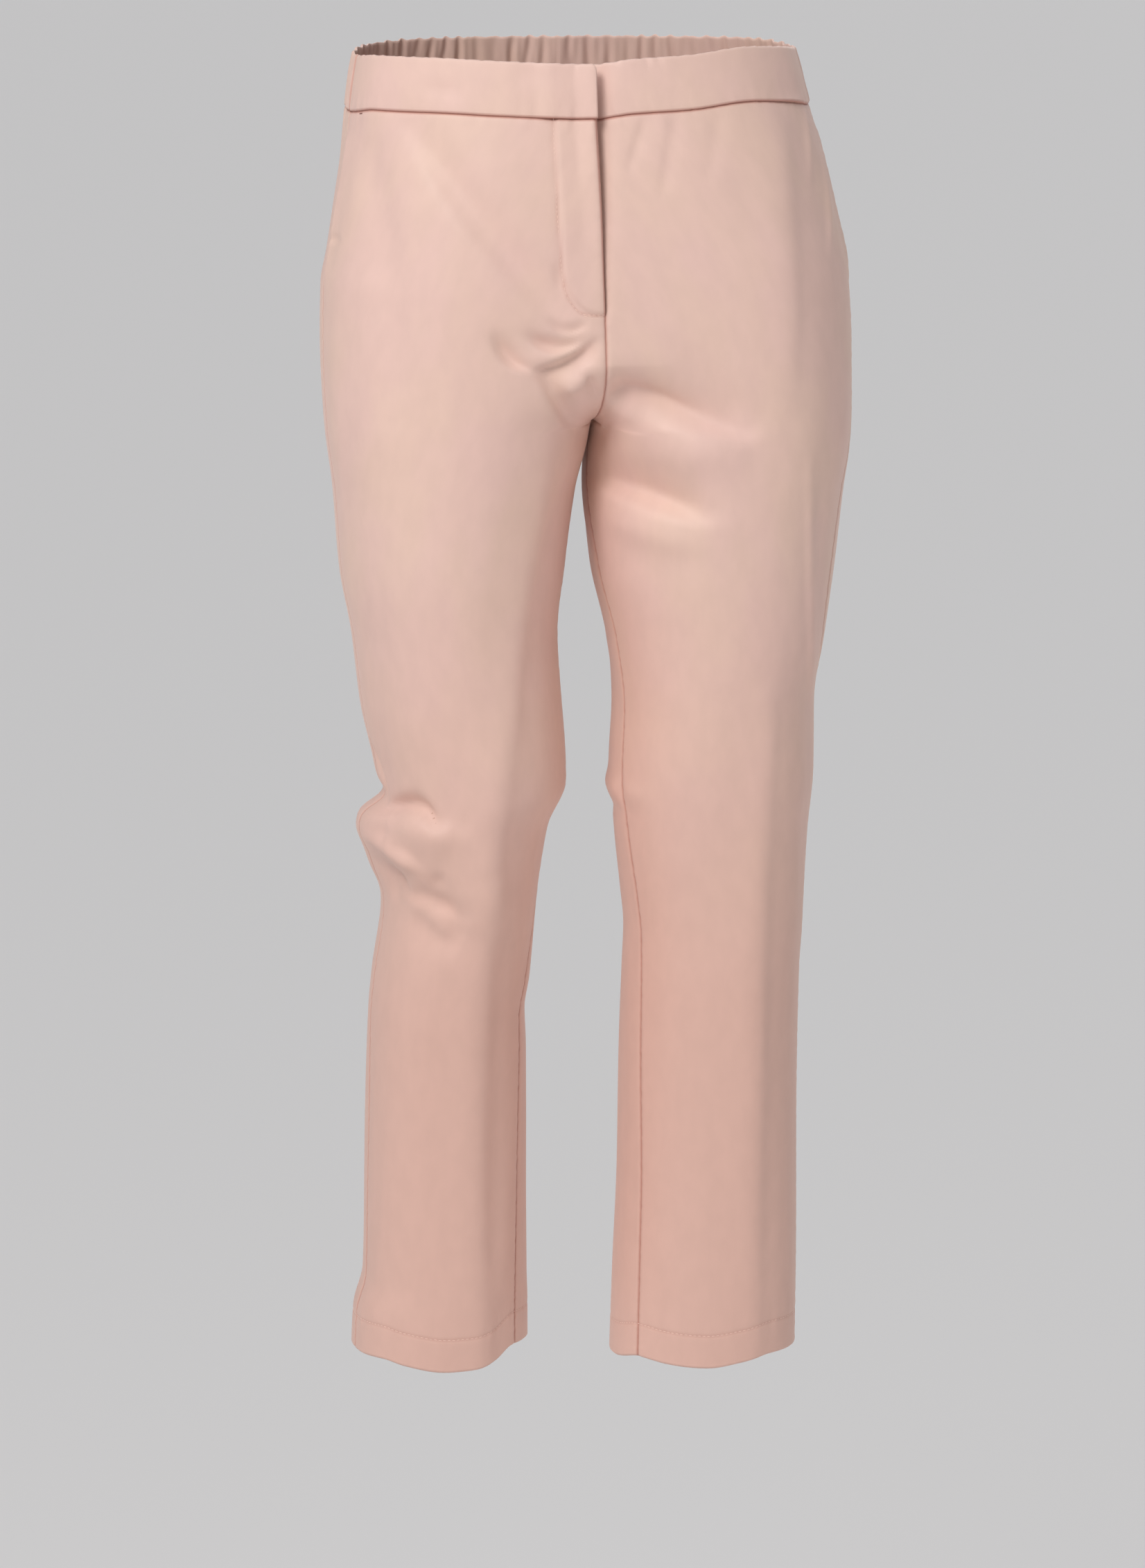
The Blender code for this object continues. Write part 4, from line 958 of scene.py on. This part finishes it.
k = np.argmin(np.where(face["out"][..., 1] > 0, np.inf, miss))
i, j = np.unravel_index(k, face["edge"].shape)
along = unit(face["points"][i, j + 1] - face["points"][i, j - 1])
spot = face["points"][i, j] + face["out"][i, j] * TACK_PROUD
sew("pocket_tack", "front_right",
    [[spot - along * TACK_LENGTH / 2, spot + along * TACK_LENGTH / 2]],
    yarn=dark_thread, **TACK_STITCHES)

# ==== the fly =========================================================================
# The right front laps over a closed zip, with a shield of the same cloth behind both
# fronts. Its topstitching turns in at the foot, where short stitches bar the end.
ZIP_START, ZIP_WIDTH, ZIP_CLOTH = 0.0020, 0.0215, 0.0012
SHIELD_LEFT, SHIELD_CLOTH = 0.010, 0.0010
FLY_FOOT = -0.150           # the zip and its shield end here
FLY_ROW = 20                # a row of the fronts that crosses the fly
right_front, left_front = cloth["right"]["front"], cloth["left"]["front"]
rows = right_front["level"][:, 0] > FLY_FOOT
away = right_front["edge"][FLY_ROW]
taped = part_of(right_front, rows, (away > ZIP_START) & (away < ZIP_WIDTH))
tape = layer("fly_zip_tape", taped, taped["proud"] + UNDER - FLY_LIFT, ZIP_CLOTH, (1, 1))
settle(tape, "fly_zip")

joined = side_by_side(
    part_of(right_front, rows, np.flatnonzero(away < ZIP_WIDTH)[::-1], way=-1),
    part_of(left_front, rows, left_front["edge"][FLY_ROW] < SHIELD_LEFT))
sunk = UNDER + joined["proud"] + lap_hollow(joined["edge"], joined["level"])
shield = layer("fly_shield_cloth", joined, sunk, SHIELD_CLOTH)
settle(shield, "fly_shield")

fly_line = rounded(FLY_LINE)
sew("fly_stitches", "front_right",
    [[on_cloth(right_front, away, z, STITCH_PROUD) for away, z in fly_line]])
BAR_START, BAR_DROP = 0.0144, 0.0011   # the bar's second line of stitches
BAR_PITCH = 0.0026
sew("fly_bar", "front_right",
    [[on_cloth(right_front, away, z - BAR_DROP, STITCH_PROUD)
      for away, z in fly_line if away < BAR_START]],
    pitch=BAR_PITCH)

# ==== the front waistband =============================================================
# A straight band of the same cloth, doubled and interfaced, sewn to both fronts. The
# right end laps flat over the left one above the fly, and hides its fastening.
BAND_PROUD = 0.0006         # the band stands this far outside the panels
BAND_CLOTH = 0.0020
BAND_ROWS, BAND_COLUMNS = 15, 112
BAND_CROWN = 0.0004
EDGE_ROLL, EDGE_ROUND = 0.0012, 0.0008
LAP_RISE = BAND_CLOTH + SEAM_GAP       # the right end lies this far above the left one
LAP_BLEND = 0.014
LAP_CORNER = 0.003
LAP_SINK, LAP_SINK_WIDTH = 0.0048, 0.010
TAIL_SINK = 0.0004
BAND_SIDE_SINK, BAND_SIDE_WIDTH = 0.0005, 0.0016
BAND_TOP_WAVE, BAND_TOP_REACH = 0.00035, 0.006
# painted shade along the band's lower seam and its side seams
BAND_SHADE_WIDTH, BAND_SIDE_SHADE = 0.0008, 0.6
RIGHT_BAND_FOLDS = folds_on(
    "front",
    (-0.114, -0.0215, -0.085, -0.0235, 0, 0.0034, 0, -0.0009),
    (-0.05, -0.012, -0.018, -0.015, 0, 0.006, 0, -0.0004),
    (-0.014, 0.002, -0.011, -0.006, 0, 0.002, 0, -0.0011),
    (-0.0045, 0.002, -0.003, -0.005, 0, 0.0018, 0, -0.0009),
)
LEFT_BAND_FOLDS = folds_on(
    "front",
    (0.128, -0.0335, 0.152, -0.0345, 0, 0.0024, 0, 0.001),
    (0.06, -0.006, 0.11, -0.009, 0, 0.006, 0, -0.0004),
    (0.015, 0.002, 0.018, -0.0045, 0, 0.002, 0, -0.001),
    (0.0365, 0.002, 0.0385, -0.006, 0, 0.002, 0, -0.0012),
    (0.044, 0.002, 0.047, -0.005, 0, 0.002, 0, -0.0009),
)
drop = (BAND_HEIGHT - SEAM_GAP / 2) * (1 - np.cos(np.linspace(0, math.pi, BAND_ROWS))) / 2
band_rows = {"front": (-drop, -drop), "back": (-drop, -drop)}


def band_part(leg, front_shares, back_shares):
    """One half of the band: points raised to its middle, facings, levels and runs."""
    points, out, level, from_rise, to_end, from_side, move, _ = worn(
        leg, band_rows, front_shares, back_shares)
    to_seam = level + BAND_HEIGHT
    move += WAIST_PUCKER * puckered(from_side, leg.seed + 7) * bell(to_seam, WAIST_PUCKER_REACH)
    move -= BAND_SIDE_SINK * bell(from_side, BAND_SIDE_WIDTH)
    points = points + out * (move + BAND_PROUD)[..., None]
    wave = BAND_TOP_WAVE * puckered(from_side, leg.seed + 3)
    points[..., 2] += wave * ease(1 + level / BAND_TOP_REACH)
    parts = {}
    front = np.arange(points.shape[1]) < len(front_shares)
    for panel, part in (("front", front), ("back", ~front)):
        parts[panel] = {"points": points[:, part], "out": out[:, part], "level": level[:, part],
                        "edge": (from_rise if panel == "front" else to_end)[:, part],
                        "side": np.abs(from_side)[:, part]}
    return parts


def band_shell(name, grid, raised, run):
    """The doubled band: crowned outside, with its folded edges rounded."""
    share = -grid["level"] / BAND_HEIGHT
    to_edge = np.minimum(-grid["level"], grid["level"] + BAND_HEIGHT - SEAM_GAP / 2)
    turn = np.clip(1 - to_edge / EDGE_ROLL, 0, 1)
    rolled = EDGE_ROUND * (1 - np.sqrt(1 - turn ** 2))
    crown = BAND_CROWN * 4 * share * (1 - share)
    outer = grid["points"] + grid["out"] * (raised + crown - rolled)[..., None]
    inner = grid["points"] + grid["out"] * (raised - BAND_CLOTH + 0.5 * rolled)[..., None]
    # Painted shade along the band's lower seam and its side seams.
    painted_groove_shade = (bell(grid["level"] + BAND_HEIGHT, BAND_SHADE_WIDTH)
             + BAND_SIDE_SHADE * bell(grid["side"], BAND_SHADE_WIDTH))
    return shell(name, outer, inner, np.stack([run, grid["level"]], axis=2),
                 np.clip(painted_groove_shade, 0, 1), faces=(0, 0))


band_shares = crowded(BAND_COLUMNS)
right_band = band_part(right._replace(folds=RIGHT_FOLDS + RIGHT_BAND_FOLDS),
                       band_shares, band_shares)
left_band = band_part(left._replace(folds=LEFT_FOLDS + LEFT_BAND_FOLDS),
                      band_shares, band_shares)

lapping = right_band["front"]
away, level = lapping["edge"], lapping["level"]
raised = LAP_RISE * ease((FLY_WIDTH + LAP_BLEND - away) / LAP_BLEND) + fly_gape(away, level)
turn = np.clip(1 - away / LAP_CORNER, 0, 1)
corner = LAP_CORNER * (1 - np.sqrt(1 - turn ** 2))
lapping["points"][..., 2] -= corner * (1 + level / BAND_HEIGHT)
piece = band_shell("band_front_right_cloth", lapping, raised, away)
settle(piece, "band_front_right")

# The left end carries on under the right one, then lies a little hollow beside it.
tail = np.flatnonzero(lapping["edge"][0] < FLY_WIDTH)[::-1]
whole = side_by_side(part_of(lapping, columns=tail, way=-1), part_of(left_band["front"]))
sunk = -LAP_SINK * bell(whole["edge"], LAP_SINK_WIDTH) - TAIL_SINK * (whole["run"] < 0)
piece = band_shell("band_front_left_cloth", whole, sunk, whole["run"])
settle(piece, "band_front_left")

# ==== the back waistband ==============================================================
# Elastic sewn inside a casing of the same cloth, which it draws up into uneven gathers
# from side seam to side seam. The photograph shows only its first gathers at one end.
GATHERS = 18                # gathers in each half of the back
GATHER_COLUMNS = 14         # columns to each of them
GATHER_DEPTH = 0.0009
GATHER_PHASE = 0.4
GATHER_EDGE = 0.55          # share of that depth left at the band's edges
GATHER_TOP, GATHER_TOP_REACH = 0.0005, 0.005   # how much the top edge waves with them
LET_OUT = 1.35              # the cloth's own length for each length that shows, in its map


def gather_wave(share, level, seed):
    """The gathers' own height across a half of the band: rounded ridges, tight valleys."""
    drift = (0.9 * np.sin(2 * math.pi * 3.1 * share + seed)
             + 0.5 * np.sin(level / 0.007 + 19 * share))
    turn = 2 * math.pi * GATHERS * share + GATHER_PHASE + drift
    fine = 0.35 * np.sin(2 * math.pi * 28.5 * share + 2 * seed + level / 0.011)
    uneven = 0.8 + 0.2 * np.sin(2 * math.pi * 4.3 * share + 3 * seed)
    return uneven * (np.sin(turn) - 0.25 * np.cos(2 * turn) + fine)


back_shares = np.linspace(0, 1, GATHERS * GATHER_COLUMNS + 1)
halves = []
for leg in (right, left):
    part = band_part(leg, band_shares, back_shares)["back"]
    wave = gather_wave(back_shares + 0 * part["level"], part["level"], leg.seed)
    middle = 4 * (-part["level"] / BAND_HEIGHT) * (1 + part["level"] / BAND_HEIGHT)
    part["raised"] = GATHER_DEPTH * (GATHER_EDGE + (1 - GATHER_EDGE) * middle) * wave
    part["points"][..., 2] += GATHER_TOP * wave * ease(1 + part["level"] / GATHER_TOP_REACH)
    part["run"] = leg.sign * part["edge"] * LET_OUT
    halves.append(part)
whole = {key: np.concatenate([halves[0][key][:, :-1], halves[1][key][:, ::-1]], axis=1)
         for key in halves[0]}
piece = band_shell("band_back_cloth", whole, whole["raised"], whole["run"])
settle(piece, "band_back")

# ==== the hems ========================================================================
# Each leg's foot is turned up by 23 mm and stitched round. The turned-up cloth is a
# layer of its own inside the leg, with its wrong side against the panels.
HEM_CLOTH = 0.0009
HEM_INSIDE = CLOTH + 0.0003
HEM_START, HEM_PAST = 0.0028, 0.0004       # from above the leg's edge to past the stitches
for side in ("right", "left"):
    front, back = cloth[side]["front"], cloth[side]["back"]
    above_foot = front["level"][:, 0] - HEM_Z
    rows = (above_foot < HEM_DEPTH + HEM_PAST) & (above_foot > HEM_START)
    joined = side_by_side(part_of(front, rows, counted="side", way=-1),
                          part_of(back, rows, slice(1, None), "side"))
    sunk = HEM_INSIDE + 0 * joined["level"]
    turned_up = layer(f"hem_{side}_cloth", joined, sunk, HEM_CLOTH, (1, 0))
    settle(turned_up, f"hem_{side}")

# ==== the floor, the light and the camera =============================================
# A plain pale studio floor under soft light from the upper left, seen from a little
# left of the front and slightly above.
FLOOR_Z = -1.9
FLOOR_SIZE = 160.0
floor_mesh = bpy.data.meshes.new("floor")
reach = FLOOR_SIZE / 2
floor_mesh.from_pydata([(-reach, -reach, FLOOR_Z), (reach, -reach, FLOOR_Z),
                        (reach, reach, FLOOR_Z), (-reach, reach, FLOOR_Z)], [], [(0, 1, 2, 3)])
floor = stand("floor", floor_mesh)
paper, paper_shader = finish_of("matt studio paper", 0.9, 0.0, 1.4)
paper_shader.inputs["Base Color"].default_value = linear("#E9E9E9")
floor_mesh.materials.append(paper)

world = bpy.data.worlds.new("studio")
bpy.context.scene.world = world
world.use_nodes = True
world.node_tree.nodes["Background"].inputs["Color"].default_value = linear("#ECEDF0")
world.node_tree.nodes["Background"].inputs["Strength"].default_value = 0.22

Lamp = namedtuple("Lamp", "name kind place aim size power tint")
LAMPS = [
    Lamp("ceiling", "SUN", (-0.9, -0.8, 2.2), (0.0, 0.0, 0.0), 0.6, 0.75, "#FBFBFF"),
    Lamp("window", "SUN", (-1.7, -2.1, 1.9), (0.0, 0.0, 0.0), 0.35, 0.85, "#FFF9F3"),
    Lamp("rear", "SUN", (1.3, 2.4, 1.6), (0.0, 0.0, 0.0), 0.7, 0.8, "#FFFFFF"),
    Lamp("key", "AREA", (-1.2, -1.9, 1.5), (0.0, 0.0, -0.10), 1.0, 26, "#FFFBF8"),
    Lamp("low", "AREA", (-0.6, -2.6, -1.2), (0.0, 0.0, -0.75), 1.4, 3, "#FF9C68"),
    Lamp("side", "AREA", (2.3, -1.0, -0.8), (0.1, 0.0, -0.6), 1.4, 9, "#FFF6F0"),
]
for lamp in LAMPS:
    light = bpy.data.lights.new(lamp.name, lamp.kind)
    if lamp.kind == "SUN":
        light.angle = lamp.size
    else:
        light.shape, light.size = "SQUARE", lamp.size
    light.energy, light.color = lamp.power, linear(lamp.tint)[:3]
    placed = stand(lamp.name, light)
    placed.location = lamp.place
    way = Vector(lamp.aim) - Vector(lamp.place)
    placed.rotation_euler = way.to_track_quat("-Z", "Y").to_euler()

CAMERA_TURN = math.radians(-7)
CAMERA_RUN = 3.6
CAMERA_Z = 0.20
CAMERA_PITCH = math.radians(11.2)
lens = bpy.data.cameras.new("camera")
lens.lens, lens.sensor_width = 119.95, 36
lens.clip_end = 200
camera = stand("camera", lens)
camera.location = (CAMERA_RUN * math.sin(CAMERA_TURN), -CAMERA_RUN * math.cos(CAMERA_TURN),
                   CAMERA_Z)
camera.rotation_euler = (math.pi / 2 - CAMERA_PITCH, 0, CAMERA_TURN)
bpy.context.scene.camera = camera
bpy.context.scene.view_settings.view_transform = "Standard"
